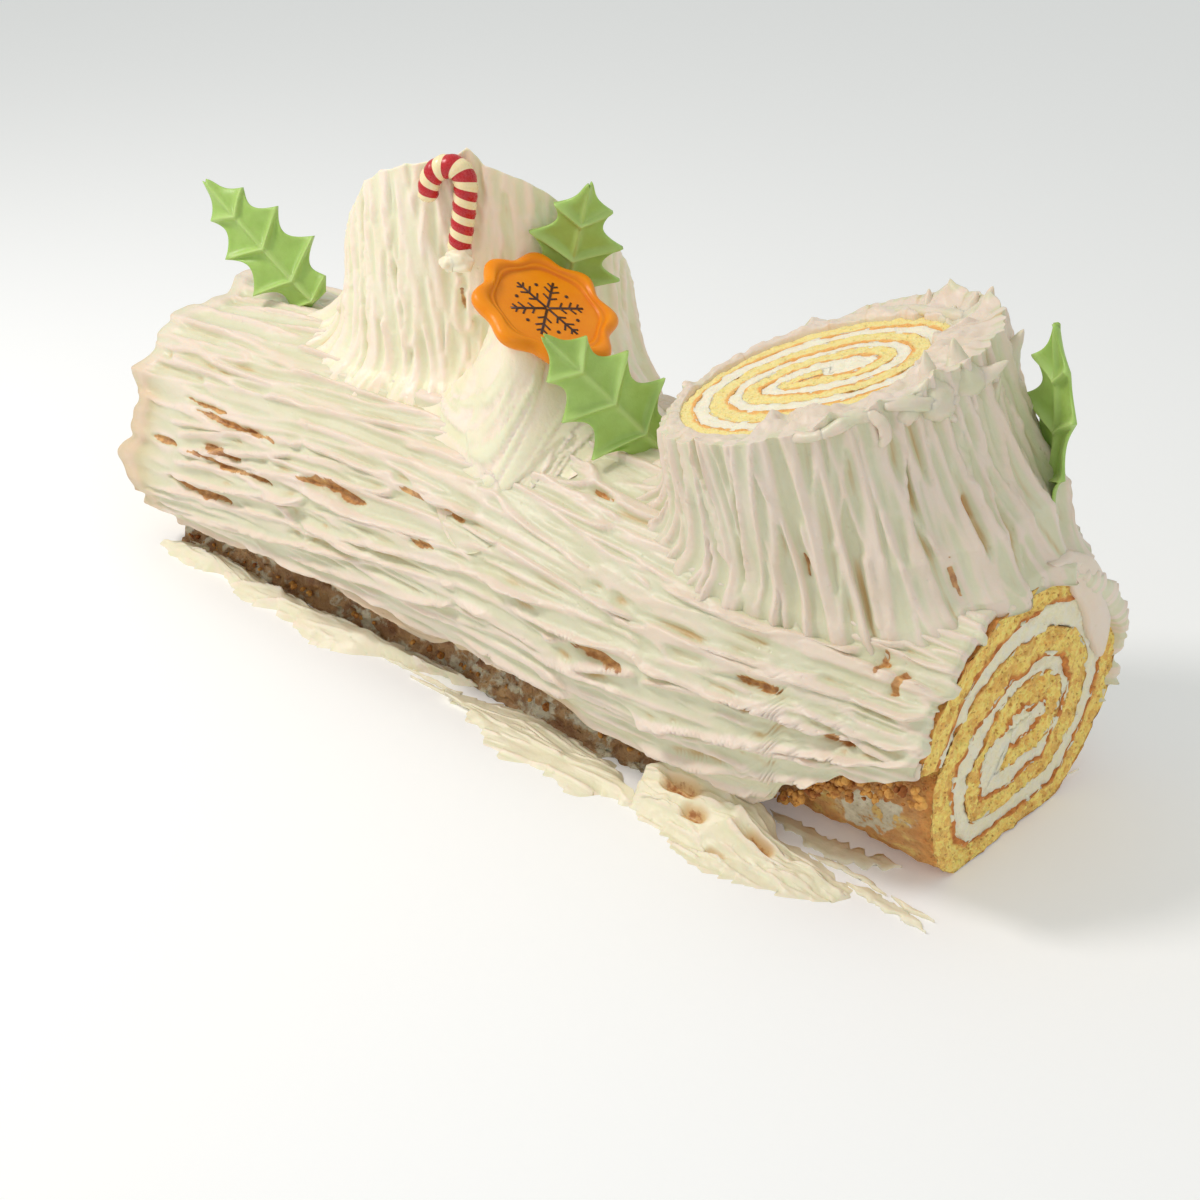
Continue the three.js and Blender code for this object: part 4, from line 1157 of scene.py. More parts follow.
def lay_over_rim(roll, place, h, rim, lapped, lumps):
    """Points in over a stump's rim and down to its cut. rim is 0 on the wall and 1 where the cream
    ends, place is where each point lies across the roll, and lapped how far the cream reaches in."""
    left_bare = smooth(-lapped, -0.6, 1.6)
    thicker = np.maximum(lapped, 0)
    stand = 1.4 + (0.9 + 0.05 * thicker) * lumps + 0.07 * thicker
    stand = stand * np.sqrt(np.clip(np.sin(math.pi * np.minimum(rim * 0.96 + 0.04, 1)), 0, 1))
    stand = stand * (1 - left_bare) - BARE_DIP * left_bare
    height = mix(h, slanted_cut(roll)(*place) + stand, smooth(rim, 0.0, 0.45)) - 1.2 * smooth(rim, 0.86, 1)
    lying = roll.at(*place, height)
    sunk = log_top(lying[..., 0], lying[..., 1]) + 0.8 + 0.6 * lumps - lying[..., 2]
    return roll.at(*place, height + np.maximum(sunk, 0) * (1 - smooth(rim, 0.85, 1)) / roll.w[2])


def make_stump_coat(name, roll, finish, coat, flare, flare_height, lip, share_of, lap, tips, seed,
                    strokes, sway, scrapes, apron_reach, columns):
    """A stump's coat: strokes down its wall that run out over the log, and a lip over its cut's edge.

    coat is its thickness and share_of(angle) the share of it on each side. flare says how much
    thicker its foot is across the log, towards +X and towards -X, and flare_height how high up.
    lip(angle) and tips(arc, around) raise its edge, and lap(angle) is how far it reaches in over
    the cut. strokes gives how many of each kind of stroke, the narrowest and widest half, trough
    and lip, and scrapes the height, degrees, length and half width of each bare place."""
    angle = round_angles(columns)
    middle = (roll.half[0] + roll.half[1]) / 2 + coat
    around = TURN * middle
    arc = angle * middle
    thick = coat * share_of(angle)
    ground = STUMP_GROUND - roll.origin[2]
    a, b = roll.oval(angle, thick)
    edge = slanted_cut(roll)(a, b) + lip(angle) + tips(arc, around)
    side = (roll.at(a, b, 0 * a)[..., 0] - roll.origin[0]) / np.hypot(a, b)
    reach = mix(flare[0], np.where(side > 0, flare[1], flare[2]), side ** 2)
    toes = 1 + 0.25 * grain(arc / 5, 1, 0, seed + 7)

    def body(h):
        return thick + reach * toes * np.exp(-np.maximum(0, h - ground) / flare_height)

    meet = foot_of_wall(roll, angle, body, STUMP_FOOT - roll.origin[2], float(edge.max())) + 1.0
    top = np.maximum(meet + 2.5, edge)
    share = np.linspace(0, 1, WALL_ROWS)[:, None]
    rim = np.linspace(0, 1, RIM_ROWS + 1)[1:, None]
    far = np.linspace(1, 0, APRON_ROWS, endpoint=False)[:, None]
    length = apron_reach * (1 + 0.28 * grain(arc / 6, 4, 0, seed + 6))
    wall_h = mix(meet, top, share)
    h = np.concatenate([np.broadcast_to(meet, (APRON_ROWS, meet.size)), wall_h,
                        np.broadcast_to(top, (RIM_ROWS, meet.size))])
    along = h - meet
    along[:APRON_ROWS] = -far * length
    far = np.concatenate([far, np.zeros((WALL_ROWS + RIM_ROWS, 1))])
    rim = np.concatenate([np.zeros((APRON_ROWS + WALL_ROWS, 1)), rim])
    across = np.broadcast_to(arc, h.shape)
    cream = Spread(along, across, -2.6 + 0.4 * grain(across / 1.8, h / 14, 0, seed), seed, around)
    lay_stump_strokes(cream, arc[0], (top - meet)[0], middle, strokes, sway, scrapes, seed)
    cream.settle()
    height = cream.height * (1 - 0.5 * np.exp(-(top - h) / 3)) * (1 - 0.85 * smooth(rim, 0, 0.4))

    fillet = 3.2 * np.exp(-np.maximum(h - meet, 0) / 3.6)
    plain = body(h) + fillet
    points = roll.at(*roll.oval(angle, plain), h)
    foot = points[APRON_ROWS]
    points[:APRON_ROWS], upward = lay_apron(foot, roll.at(0.0, 0.0, meet[0]), length[0], far[:APRON_ROWS])
    outward = roll.at(np.cos(angle), np.sin(angle), 0 * angle) - roll.origin
    tilt = np.where(far > 0, 1 - 0.5 * np.exp(-far * length / 5), 0.5 * np.exp(-(h - meet) / 5))[..., None]
    stands = units(mix(np.broadcast_to(outward, points.shape), upward[None], tilt))
    at_end = smooth(foot[:, 0], 118, 134) * (1 - smooth(h - meet, 5, 16))
    points = points + stands * (height * (1 - smooth(far, 0.55, 1)) * (1 - 0.7 * at_end))[..., None]
    lapped = lap(angle)
    lumps = rough_grain(across / 5.5, rim * (1.5 + np.maximum(lapped, 0) / 4), 0, seed + 9, 3)
    covered = np.maximum(lapped + 0.9 * grain(arc / 3.0, 2, 0, seed + 8), 1.7)
    inward = mix(plain + height - 1.0 * smooth(rim, 0, 0.15), -covered, smooth(rim, 0.0, 1) ** 0.9)
    lid = lay_over_rim(roll, roll.oval(angle, inward), h, rim, lapped, lumps)
    points = np.where(rim[..., None] > 0, lid, points)
    tangent = roll.at(-np.sin(angle), np.cos(angle), 0 * angle) - roll.origin
    free = (1 - smooth(rim, 0, 0.2)) * (1 - smooth(far, 0, 0.3))
    points = points + tangent * (cream.lean * free)[..., None]
    points = points + roll.w * (cream.pull * free * 0.7)[..., None]
    marks = cream.marks()
    # in over the rim: less painted groove shade, and a steady share of painted highlight on the lumps
    marks["hollow"] = marks["hollow"] * (1 - 0.5 * smooth(rim, 0, 0.5))
    marks["crest"] = mix(marks["crest"], 0.7 + 0.2 * lumps, smooth(rim, 0, 0.3))
    piece(name, points, round_faces(*h.shape)[:, ::-1], finish, marks, "cream", ["cream_coat"])


def sharp_tips(seed, pitch, tallest):
    """Pulled-up points along a rim, as heights over the arc."""
    def chance(n, which):
        return float(cell_chance(np.array(n), np.array(which), np.array(0), seed))

    def tips(arc, around):
        count = int(around / pitch)
        step = around / count
        total = 0.0
        for n in range(count):
            place = (n + 0.7 * chance(n, 1)) * step
            tall = tallest * chance(n, 2) ** 2.2
            off = (arc - place + around / 2) % around - around / 2
            total = np.maximum(total, tall * np.clip(1 - np.abs(off) / (0.5 * step), 0, 1) ** 1.4)
        return total
    return tips


def by_degrees(table):
    """Values between those of a table of degrees, -180 to 180, and values."""
    degrees, values = zip(*table)
    return lambda t: np.interp(np.degrees(np.arctan2(np.sin(t), np.cos(t))), degrees, values)


# How far the cream of each stump reaches in over its cut, by degrees round it.
RIGHT_LAP = [(-180, 0.3), (-144, -0.3), (-121, 0.6), (-118.5, 12.6), (-106, 12), (-95, 10.8), (-79, 8.5),
             (-62, 8), (-42, 12), (-24, 13), (0, 11), (6, 8), (16, 4), (28, 3.2), (54, 2.6), (75, 2.0),
             (95, 0.2), (180, 0.3)]
LEFT_LAP = [(-180, 7), (-150, 5.5), (-116, 4), (-60, 3.2), (0, 3.2), (60, 3), (96, 3), (99.5, 11.5),
            (120, 10.5), (140, 9), (160, 8), (180, 7)]


def make_right_stump_coat(finish):
    make_stump_coat(
        "right_stump_cream", RIGHT, finish, coat=5.2, flare=(-1.5, 10, 17), flare_height=15,
        lip=lambda t: (2.2 * bump(t, -1.3, 1.1) + 3.6 * bump(t, 0.7, 0.5) + 2.0 * bump(t, 0, 0.5)
                       - 1.2 * bump(t, 2.4, 0.8) + 0.9 * grain(t * 2.6, 31)),
        share_of=lambda t: 1 + 0.35 * bump(t, 0.1, 0.7) - 0.72 * bump(t, 2.5, 0.9),
        lap=by_degrees(RIGHT_LAP), tips=sharp_tips(71, 12.0, 3.6), seed=21,
        strokes=[(60, "flute", 2.2, 4.2, 2.5, 1.9), (14, "falling", 1.8, 3.2, 2.2, 1.8),
                 (8, "dab", 1.4, 2.4, 1.4, 1.3), (34, "rising", 2.0, 3.8, 2.5, 1.9),
                 (18, "flute", 1.6, 3.4, 2.2, 1.8)],
        sway=0.1, scrapes=[(12, 250, 7, 0.6), (6, 292, 8, 0.6), (22, 300, 6, 0.5)],
        apron_reach=13, columns=480)


def make_left_stump_coat(finish):
    make_stump_coat(
        "left_stump_cream", LEFT, finish, coat=4.9, flare=(-2.5, 12, 22), flare_height=17,
        lip=lambda t: 1.6 + 1.2 * grain(t * 2.6, 41) + 2.8 * bump(t, -2.05, 0.8),
        share_of=lambda t: 1 + 0 * t,
        lap=by_degrees(LEFT_LAP), tips=sharp_tips(81, 9.0, 4.0), seed=27,
        strokes=[(50, "flute", 2.0, 4.0, 1.3, 1.2), (36, "rising", 1.8, 3.4, 1.4, 1.3),
                 (30, "falling", 1.4, 3.0, 1.3, 1.3), (20, "dab", 1.2, 2.4, 1.1, 1.4),
                 (16, "flute", 1.1, 2.4, 1.0, 1.0)],
        sway=0.12, scrapes=[(24, 262, 6, 0.4), (9, 280, 7, 0.4)], apron_reach=15, columns=350)


# Pulled-up tips of cream round the right stump's cut: foot, tip and half width at the foot.
PEAKS = [
    ((120.1, -15.2, 117.0), (114.4, -12.6, 127.6), 4.6), ((121.4, -5.7, 119.0), (116.7, -4.0, 128.6), 5.0),
    ((120.8, -3.8, 119.0), (127.5, 3.4, 123.6), 4.2), ((119.8, 13.4, 114.5), (121.6, 21.2, 124.5), 4.8),
    ((104.8, 30.1, 119.5), (105.2, 35.2, 127.5), 4.0), ((101.5, 31.0, 119.0), (101.4, 34.6, 125.3), 3.2),
    ((86.9, 37.5, 114.0), (84.8, 40.0, 120.8), 2.8), ((123.0, 2.4, 111.8), (125.0, 5.5, 118.0), 3.4),
    ((115.3, -21.8, 116.0), (118.8, -17.0, 123.3), 4.0), ((96.9, 30.7, 117.1), (96.9, 32.4, 121.3), 3.0),
]
# Rolled-over lumps and strips of cream on the same rim: points along each, and half widths.
ROLLS = [
    ([(88, -35.6, 107.2), (94, -37.2, 109.0), (100, -38.2, 110.6), (105, -37.0, 112.6)],
     (1.2, 2.0, 2.2, 1.6)),
    ([(104, -37.4, 111.6), (107.4, -34.0, 114.4), (110, -30.2, 116.0), (113.6, -27.6, 116.4)],
     (1.6, 2.4, 2.6, 2.0)),
    ([(111, -29.6, 117.2), (114.6, -28.6, 115.2), (115.6, -28.2, 112.0), (114.6, -29.0, 109.2)],
     (1.8, 2.2, 2.0, 1.0)),
    ([(113, -26.6, 118.0), (117.4, -22.0, 118.4), (120.6, -16.3, 117.4), (122.6, -9.4, 117.0)],
     (1.8, 2.6, 2.8, 1.8)),
    ([(119.6, -18.5, 116.0), (122.4, -12.5, 113.6), (123.6, -8.5, 110.2)], (1.8, 2.2, 1.0)),
    ([(71, 36.6, 112.0), (76, 37.0, 113.2), (82, 37.0, 115.0), (90, 33.8, 117.4), (98.6, 30.4, 119.4),
      (105, 28.6, 120.6)], (1.2, 2.2, 2.4, 2.0, 2.6, 2.0)),
]
TUBE_SIDES = 22


def tube(line, half, seed, rings=26, flat=0.8):
    """A soft uneven roll of cream along a line, as points and faces; half gives its half widths."""
    line, run = curve_through(line, rings)
    radius = np.interp(np.linspace(0, 1, rings), np.linspace(0, 1, len(half)), half)
    ends = np.clip(np.minimum(run, run[-1] - run) / (0.9 * radius), 0, 1)
    radius = radius * np.sqrt(np.clip(1 - (1 - ends) ** 2, 0.0025, 1))
    ahead = units(np.gradient(line, axis=0))
    first = units(np.cross(ahead, (0.3, -0.2, 0.93)))
    second = np.cross(first, ahead)
    turn = round_angles(TUBE_SIDES)
    uneven = rough_grain(np.cos(turn) * 1.2 + seed, np.sin(turn) * 1.2, run[:, None] / 3.2, seed, 3)
    r = radius[:, None] * (1 + 0.16 * uneven)
    points = (line[:, None] + (r * np.cos(turn))[..., None] * first[:, None]
              + (r * np.sin(turn) * flat)[..., None] * second[:, None])
    return points.reshape(-1, 3), tube_faces(*r.shape)


def make_rim_tips(finish):
    """The peaks and rolled lumps that the knife left round the right stump's cut."""
    parts = []
    for number, (foot, tip, half) in enumerate(PEAKS):
        foot, tip = np.array(foot), np.array(tip)
        low = foot - 0.35 * (tip - foot)
        bend = mix(foot, tip, 0.55) - np.array((0, 0, 0.9))
        parts.append(tube([low, foot, bend, tip], (half * 1.15, half, 0.5 * half, 0.3), 100 + number))
    for number, (line, half) in enumerate(ROLLS):
        parts.append(tube(line, [0.8 * width for width in half], 130 + number, rings=34))
    points, faces = joined(parts)
    # a share of painted highlight that varies from place to place
    high = np.clip(0.55 + 0.3 * grain(points[:, 0] / 3, points[:, 1] / 3, points[:, 2] / 3, 7), 0, 1)
    piece("stump_rim_tips_cream", points, faces, finish, {"hollow": 0, "bare": 0, "crest": high},
          "cream", ["cream_coat"])


# ---------------------------------------------------------------- leaves

# The spines on each side: place along the leaf and share of its half width.
SPINES = [(0.07, 0.58), (0.29, 1.0), (0.56, 0.88), (0.79, 0.55), (1.0, 0.0)]
LEAF_FOOT = 0.34
LEAF_THICK = 1.5
LEAF_ROWS, LEAF_COLUMNS = 68, 35
VEIN_HIGH = 1.5
# Each leaf: where it starts and ends, the way it faces, its width and how far it is cupped.
LEAVES = [
    dict(foot=(-109.5, -1.5, 82.2), tip=(-146.1, -12, 117.3), face=(0.35, -0.8, 0.35), width=28, cup=2.5),
    dict(foot=(-14, 7.2, 100.5), tip=(-0.9, 6, 140.3), face=(0.75, -0.62, 0.2), width=30, cup=2.0),
    dict(foot=(38, -10, 77.8), tip=(14.5, -32, 112.2), face=(0.5, -0.6, 0.5), width=29, cup=2.5),
    dict(foot=(135.6, 15, 82), tip=(132.7, 15, 131.3), face=(-0.55, -0.82, 0.1), width=25, cup=-4.0),
]


def drawing_plane(up, face):
    """Sideways, upwards and outwards in a plane that faces about one way, with up along it."""
    v = unit(up)
    n = unit(np.asarray(face, float) - v * np.dot(face, v))
    return np.cross(v, n), v, n


def laid(at, plane, across, up, out):
    """Points from distances sideways, upwards and outwards in a drawing plane."""
    u, v, n = plane
    return at + across[..., None] * u + up[..., None] * v + out[..., None] * n


def leaf_half_width(t):
    """Share of the half width at a place along the edge, drawn in between each spine and the next."""
    places = [0.0] + [place for place, _ in SPINES]
    shares = [LEAF_FOOT] + [share for _, share in SPINES]
    i = np.clip(np.searchsorted(places, t, side="right") - 1, 0, len(SPINES) - 1)
    p0, p1 = np.take(places, i), np.take(places, i + 1)
    s0, s1 = np.take(shares, i), np.take(shares, i + 1)
    part = (t - p0) / (p1 - p0)
    drawn = np.where(i == 0, 0.0, 0.4)
    return mix(s0, s1, part) * (1 - drawn * np.sin(math.pi * part))


def make_leaf(number, finish):
    spec = LEAVES[number]
    foot, tip = np.array(spec["foot"], float), np.array(spec["tip"], float)
    length = np.linalg.norm(tip - foot)
    plane = drawing_plane(tip - foot, spec["face"])
    near = [place + step for place, _ in SPINES[:-1] for step in (-0.018, -0.009, 0.0, 0.009, 0.018)]
    t = np.unique(np.round(np.concatenate([np.linspace(0, 0.985, LEAF_ROWS), near]), 4))[:, None]
    k = np.linspace(-1, 1, LEAF_COLUMNS)
    k = (np.sign(k) * np.abs(k) ** 0.85)[None, :]
    half = np.maximum(leaf_half_width(t), 0.03)
    root = np.maximum(0, t - 0.13 * np.sqrt(np.sin(math.pi * np.clip(t, 0, 1))))
    a = k * half * spec["width"] / 2
    b = mix(root, t, np.abs(k) ** 0.9) * length
    cupped = spec["cup"] * (0.8 * np.sin(math.pi * t) - np.abs(k) * half)
    wave = 0.9 * np.sin(9 * t + 2.4 * k + number) * np.abs(k)
    midrib = 1.9 * np.exp(-(a / 0.85) ** 2) * (1 - 0.6 * t)
    veins = sum(np.exp(-((t - place) * length * 0.8 / 0.7) ** 2) for place, _ in SPINES[:-1])
    dish = -1.0 * (1 - np.clip(veins, 0, 1)) * 4 * np.abs(k) * (1 - np.abs(k)) * half
    ribs = np.maximum(midrib, VEIN_HIGH * veins * (1 - 0.45 * np.abs(k)))
    edge = (1 - np.abs(k)) * half * spec["width"] / 2
    rounded = -0.45 * np.exp(-edge / 0.5)
    sides = [laid(foot, plane, a, b, cupped + wave + out)
             for out in (LEAF_THICK / 2 + (ribs + rounded + dish), -LEAF_THICK / 2 - rounded)]
    flat, faces, used = block(np.stack(sides, 2))
    # share of the paler green painted on the raised veins and midrib, a painted highlight
    raised = np.clip(ribs / VEIN_HIGH, 0, 1)
    raised = np.stack([raised, 0 * raised], 2).reshape(-1)[used]
    piece(f"icing_leaf_{number + 1}", flat, faces, finish, {"raised": raised}, "leaf_icing",
          [f"holly_leaf_{number + 1}"])


# ---------------------------------------------------------------- the seal

SEAL_AT = np.array((1.1, -14.6, 110.1))
SEAL_FACE = (0.49, -0.07, 0.87)
SEAL_FLOOR = 0.7           # height of the sunken field over the seal's middle plane
# Radius, height and share of the lobes, from the back over the rim to the middle of the field.
SEAL_PROFILE = np.array([
    (0.1, -2.3, 0), (12, -2.3, 0.6), (17.0, -2.3, 1), (18.6, -1.7, 1), (19.5, -0.8, 1), (19.8, 0.1, 1),
    (19.6, 1.0, 1), (19.0, 1.75, 1), (18.2, 2.2, 0.95), (17.4, 2.35, 0.85), (16.8, 2.25, 0.7),
    (16.3, 1.9, 0.5), (16.0, 1.6, 0.4), (15.7, 1.5, 0.35), (15.2, 1.5, 0.3), (14.9, 1.3, 0.25),
    (14.7, 0.9, 0.2), (14.4, 0.72, 0.15), (13.8, 0.7, 0.1), (9, 0.68, 0), (0.1, 0.66, 0)])
SEAL_CREASES = [(15.9, 0.5, 0.35), (14.6, 0.4, 0.5)]      # radius, width and depth of the painted shade
SEAL_SIDES, SEAL_RINGS = 190, 56


def on_seal(across, up, out):
    return laid(SEAL_AT, drawing_plane((0, 1, 0), SEAL_FACE), across, up, out)


def make_seal(finish):
    angle = round_angles(SEAL_SIDES)
    fine, place = np.linspace(0, 1, SEAL_RINGS), np.linspace(0, 1, len(SEAL_PROFILE))
    radius, height, lobed = (np.interp(fine, place, column)[:, None] for column in SEAL_PROFILE.T)
    lobe = lobed * (1.3 * np.sin(8 * angle) + 0.45 * np.sin(3 * angle + 1)
                    + 0.35 * grain(3 + 2 * np.cos(angle), 3 + 2 * np.sin(angle), 0, 5))
    r = radius + lobe
    uneven = lobed * 0.3 * (grain(np.cos(angle) * 1.6, np.sin(angle) * 1.6, height / 3, 6)
                            + 0.6 * np.sin(8 * angle + 0.6))
    points = on_seal(r * np.cos(angle), r * np.sin(angle), height + uneven)
    # painted shade in the creases round the field
    crease_shade = sum(np.exp(-((radius - at) / wide) ** 2) * deep for at, wide, deep in SEAL_CREASES)
    crease_shade = np.broadcast_to(np.where(height > 0.3, crease_shade, 0), r.shape)
    piece("seal_icing_plaque", points, round_faces(*r.shape)[:, ::-1], finish, {"crease_shade": crease_shade},
          "seal_icing", ["seal_plaque"])


def bar(start, end, half, low, high):
    """A flat bar with bevelled long edges, as points and faces, drawn in a plane."""
    start, end = np.array(start, float), np.array(end, float)
    along = unit(end - start)
    side = np.array((-along[1], along[0]))
    profile = [(-half, low), (-half, high * 0.6), (-half * 0.5, high), (half * 0.5, high),
               (half, high * 0.6), (half, low)]
    rings = [[(*(at + side * across), up) for across, up in profile] for at in (start, end)]
    points = [p for ring in rings for p in ring]
    count = len(profile)
    faces = [(i, (i + 1) % count, (i + 1) % count + count, i + count) for i in range(count)]
    faces += [tuple(range(count))[::-1], tuple(range(count, 2 * count))]
    return points, faces


ARM = 11.0                 # length of the snowflake's arms
BRANCHES = [(3.8, 2.4), (6.6, 2.6), (9.0, 1.8)]      # where they start on an arm, and their length
DOTS_AT = 8.8
ARM_TURN = 0.12            # how far the snowflake is turned


def direction(turn):
    return np.array((math.cos(turn), math.sin(turn)))


def make_snowflake(finish):
    """A plain six-armed snowflake with dots round it, laid on the seal's field."""
    parts = []
    for arm in range(6):
        turn = TURN * arm / 6 + ARM_TURN
        way = direction(turn)
        parts.append(bar(way * 0.4, way * ARM, 0.36, -0.3, 0.16))
        for out, reach in BRANCHES:
            for side in (-1, 1):
                end = way * out + direction(turn + side * 0.95) * reach
                parts.append(bar(way * out, end, 0.28, -0.3, 0.15))
        dot = direction(TURN * (arm + 0.5) / 6 + ARM_TURN) * DOTS_AT
        for corner in range(3):
            tilt = direction(math.pi * corner / 3)
            parts.append(bar(dot - tilt * 0.5, dot + tilt * 0.5, 0.3, -0.3, 0.15 + 0.004 * corner))
    drawn, faces = joined(parts)
    piece("seal_snowflake", on_seal(drawn[:, 0], drawn[:, 1], drawn[:, 2] + SEAL_FLOOR), faces, finish)


# The mound under the seal: half widths at its top and foot, and the middle of its foot.
BED_TOP, BED_FOOT = 13.5, 42.0
BED_AT = (-4, -7)
BED_RUN = 42               # how far its strokes' places run, up it and, as a radius, round it
BED_ROUND = 18.0
BED_SIDES, BED_ROWS = 210, 50
BED_STROKES = 64


def make_seal_bed(finish):
    """The mound of cream that carries the seal."""
    angle = round_angles(BED_SIDES)
    up = np.linspace(0, 1, BED_ROWS)[:, None]
    uneven = 1 + 0.09 * np.sin(3 * angle) + 0.06 * np.sin(5 * angle + 2)
    x = BED_AT[0] + BED_FOOT * uneven * np.cos(angle)
    y = BED_AT[1] + BED_FOOT * uneven * np.sin(angle) * 0.9
    low = np.stack([x, y, log_top(x, y) - 1.5], -1)
    r = BED_TOP * uneven
    top = on_seal(r * np.cos(angle), r * np.sin(angle), 0 * r)
    points = np.concatenate([mix(low[..., :2], top[..., :2], up[..., None] ** 0.8),
                             mix(low[..., 2:], top[..., 2:], up[..., None] ** 1.7)], -1)
    shape = points.shape[:2]
    cream = Spread(np.broadcast_to(up * BED_RUN, shape), np.broadcast_to(angle * BED_ROUND, shape),
                   0.7 * grain(np.cos(angle) * 3 + up * 2, np.sin(angle) * 3, up * 4, 91), 33,
                   TURN * BED_ROUND)
    dice = cream.dice
    for _ in range(BED_STROKES):
        start = dice.uniform(-4, BED_RUN)
        end = start + dice.uniform(12, 34) * dice.choice((-1, 1))
        line = wandering(dice.uniform(0, TURN * BED_ROUND), dice.normal(0.7, 0.3), (start + end) / 2,
                         1.5, random_seed(dice), 16)
        cream.stroke(start, end, line, dice.uniform(1.0, 2.4), dice.uniform(-0.5, 0.6),
                     dice.uniform(0.9, 1.5), dice.uniform(0.9, 1.5), dice.uniform(0.2, 0.9), fade=4.0)
    away = points - (low + top) / 2
    away[..., 2] = 0
    away = away / (np.linalg.norm(away, axis=-1, keepdims=True) + 1e-6)
    points = points + away * (cream.height * smooth(up, 0, 0.1) * (1 - smooth(up, 0.9, 1)))[..., None]
    piece("seal_mound_cream", points, round_faces(*shape)[:, ::-1], finish, cream.marks(), "cream",
          ["cream_coat"])


# ---------------------------------------------------------------- the cane

CANE_AT = np.array((-30.2, -17.3, 134.8))
CANE_FACE = (0.5, -0.82, 0.3)
CANE_LINE = [(-6.4, -1.2), (-6.3, 2.6), (-5.1, 6.0), (-2.6, 8.3), (0.6, 8.8), (3.1, 7.2), (4.0, 3.9),
             (3.6, -0.6), (2.9, -5.6), (2.0, -11.0), (1.2, -15.0)]
CANE_PERIOD = 4.7          # distance from stripe to stripe
CANE_RINGS, CANE_SIDES = 150, 48


def rounded_end(distance, reach):
    """Share of the radius some way from a rounded end."""
    return np.sqrt(np.clip(1 - (1 - np.clip(distance / reach, 0, 1)) ** 2, 0.01, 1))


def make_cane(finish):
    line, run = curve_through(CANE_LINE, CANE_RINGS)
    ahead = units(np.gradient(line, axis=0))
    radius = mix(2.75, 3.25, smooth(run / run[-1], 0, 0.35))
    radius = radius * rounded_end(run, 2.2) * rounded_end(run[-1] - run, 1.0)
    angle = round_angles(CANE_SIDES)
    along = TURN * run[:, None] / CANE_PERIOD
    r = radius[:, None] + 0.1 * np.cos(along * 2 + 2 * angle) * (radius[:, None] > 2)
    side = r * np.cos(angle)
    x = line[:, :1] - ahead[:, 1:] * side
    y = line[:, 1:] + ahead[:, :1] * side
    points = laid(CANE_AT, drawing_plane((0, 0, 1), CANE_FACE), x, y, r * np.sin(angle))
    piece("candy_stick", points, tube_faces(*x.shape), finish, {"stripe": np.cos(along + angle)},
          "cane_icing", ["candy_cane"])


# ---------------------------------------------------------------- small lumps and crumbs

def rounded_lump(detail=2):
    """Points and faces of a unit ball made of triangles."""
    golden = (1 + 5 ** 0.5) / 2
    points = [unit(p) for p in (
        (-1, golden, 0), (1, golden, 0), (-1, -golden, 0), (1, -golden, 0), (0, -1, golden),
        (0, 1, golden), (0, -1, -golden), (0, 1, -golden), (golden, 0, -1), (golden, 0, 1),
        (-golden, 0, -1), (-golden, 0, 1))]
    faces = [(0, 11, 5), (0, 5, 1), (0, 1, 7), (0, 7, 10), (0, 10, 11), (1, 5, 9), (5, 11, 4), (11, 10, 2),
             (10, 7, 6), (7, 1, 8), (3, 9, 4), (3, 4, 2), (3, 2, 6), (3, 6, 8), (3, 8, 9), (4, 9, 5),
             (2, 4, 11), (6, 2, 10), (8, 6, 7), (9, 8, 1)]
    for _ in range(detail):
        middles, finer = {}, []
        for face in faces:
            halves = []
            for a, b in ((0, 1), (1, 2), (2, 0)):
                key = tuple(sorted((face[a], face[b])))
                if key not in middles:
                    middles[key] = len(points)
                    points.append(unit(points[key[0]] + points[key[1]]))
                halves.append(middles[key])
            finer += [(face[0], halves[0], halves[2]), (face[1], halves[1], halves[0]),
                      (face[2], halves[2], halves[1]), tuple(halves)]
        faces = finer
    return np.array(points), faces


def make_lumps(name, spots, finish, detail, uneven, slot, stands_for=(), marks=None):
    """Many small lumps joined as one piece; each spot is a middle, three half sizes and a seed."""
    ball, ball_faces = rounded_lump(detail)
    parts = []
    for at, sizes, seed in spots:
        knock = rough_grain(ball[:, 0] * 1.3 + seed, ball[:, 1] * 1.3, ball[:, 2] * 1.3, seed, 2)
        parts.append((np.asarray(at) + ball * (1 + uneven * knock)[:, None] * np.asarray(sizes), ball_faces))
    piece(name, *joined(parts), finish, marks, slot, stands_for)


# The small heap of cream at the cane's foot.
CANE_FOOT = [((-26.5, -18.5, 119.0), (4.2, 3.4, 3.0), 3), ((-29, -20.5, 118.0), (3.0, 2.4, 2.4), 9)]
CUT_CRUMBS, FOOT_CRUMBS = 110, 90      # how many lie near the cut, and along the rest of the foot


def make_front_crumbs(finish):
    """Loose crumbs along the foot of the log's front, and a few on its cut."""
    dice = np.random.default_rng(5)
    spots = []
    for _ in range(CUT_CRUMBS):
        x = dice.uniform(94, 145)
        z = edge_height(FRONT_EDGE, x) - dice.uniform(-1.5, 6)
        size = dice.uniform(0.4, 1.3)
        y = LOG_Y - 0.2 - LOG_WIDE * math.sqrt(1 - ((z - LOG_Z) / LOG_HIGH) ** 2)
        spots.append(((x, y, z), size * dice.uniform(0.7, 1.3, 3), random_seed(dice)))
    for _ in range(FOOT_CRUMBS):
        x = dice.uniform(-140, 60)
        size = dice.uniform(0.4, 1.1)
        low = 0.4 + 5.0 * dice.random()
        y = -34.0 - 1.1 * low - dice.uniform(0, 1.5)
        spots.append(((x, y, low), size * dice.uniform(0.7, 1.2, 3), random_seed(dice)))
    make_lumps("front_crumbs", spots, finish, 1, 0.35, "sponge")


# ---------------------------------------------------------------- cream on the board

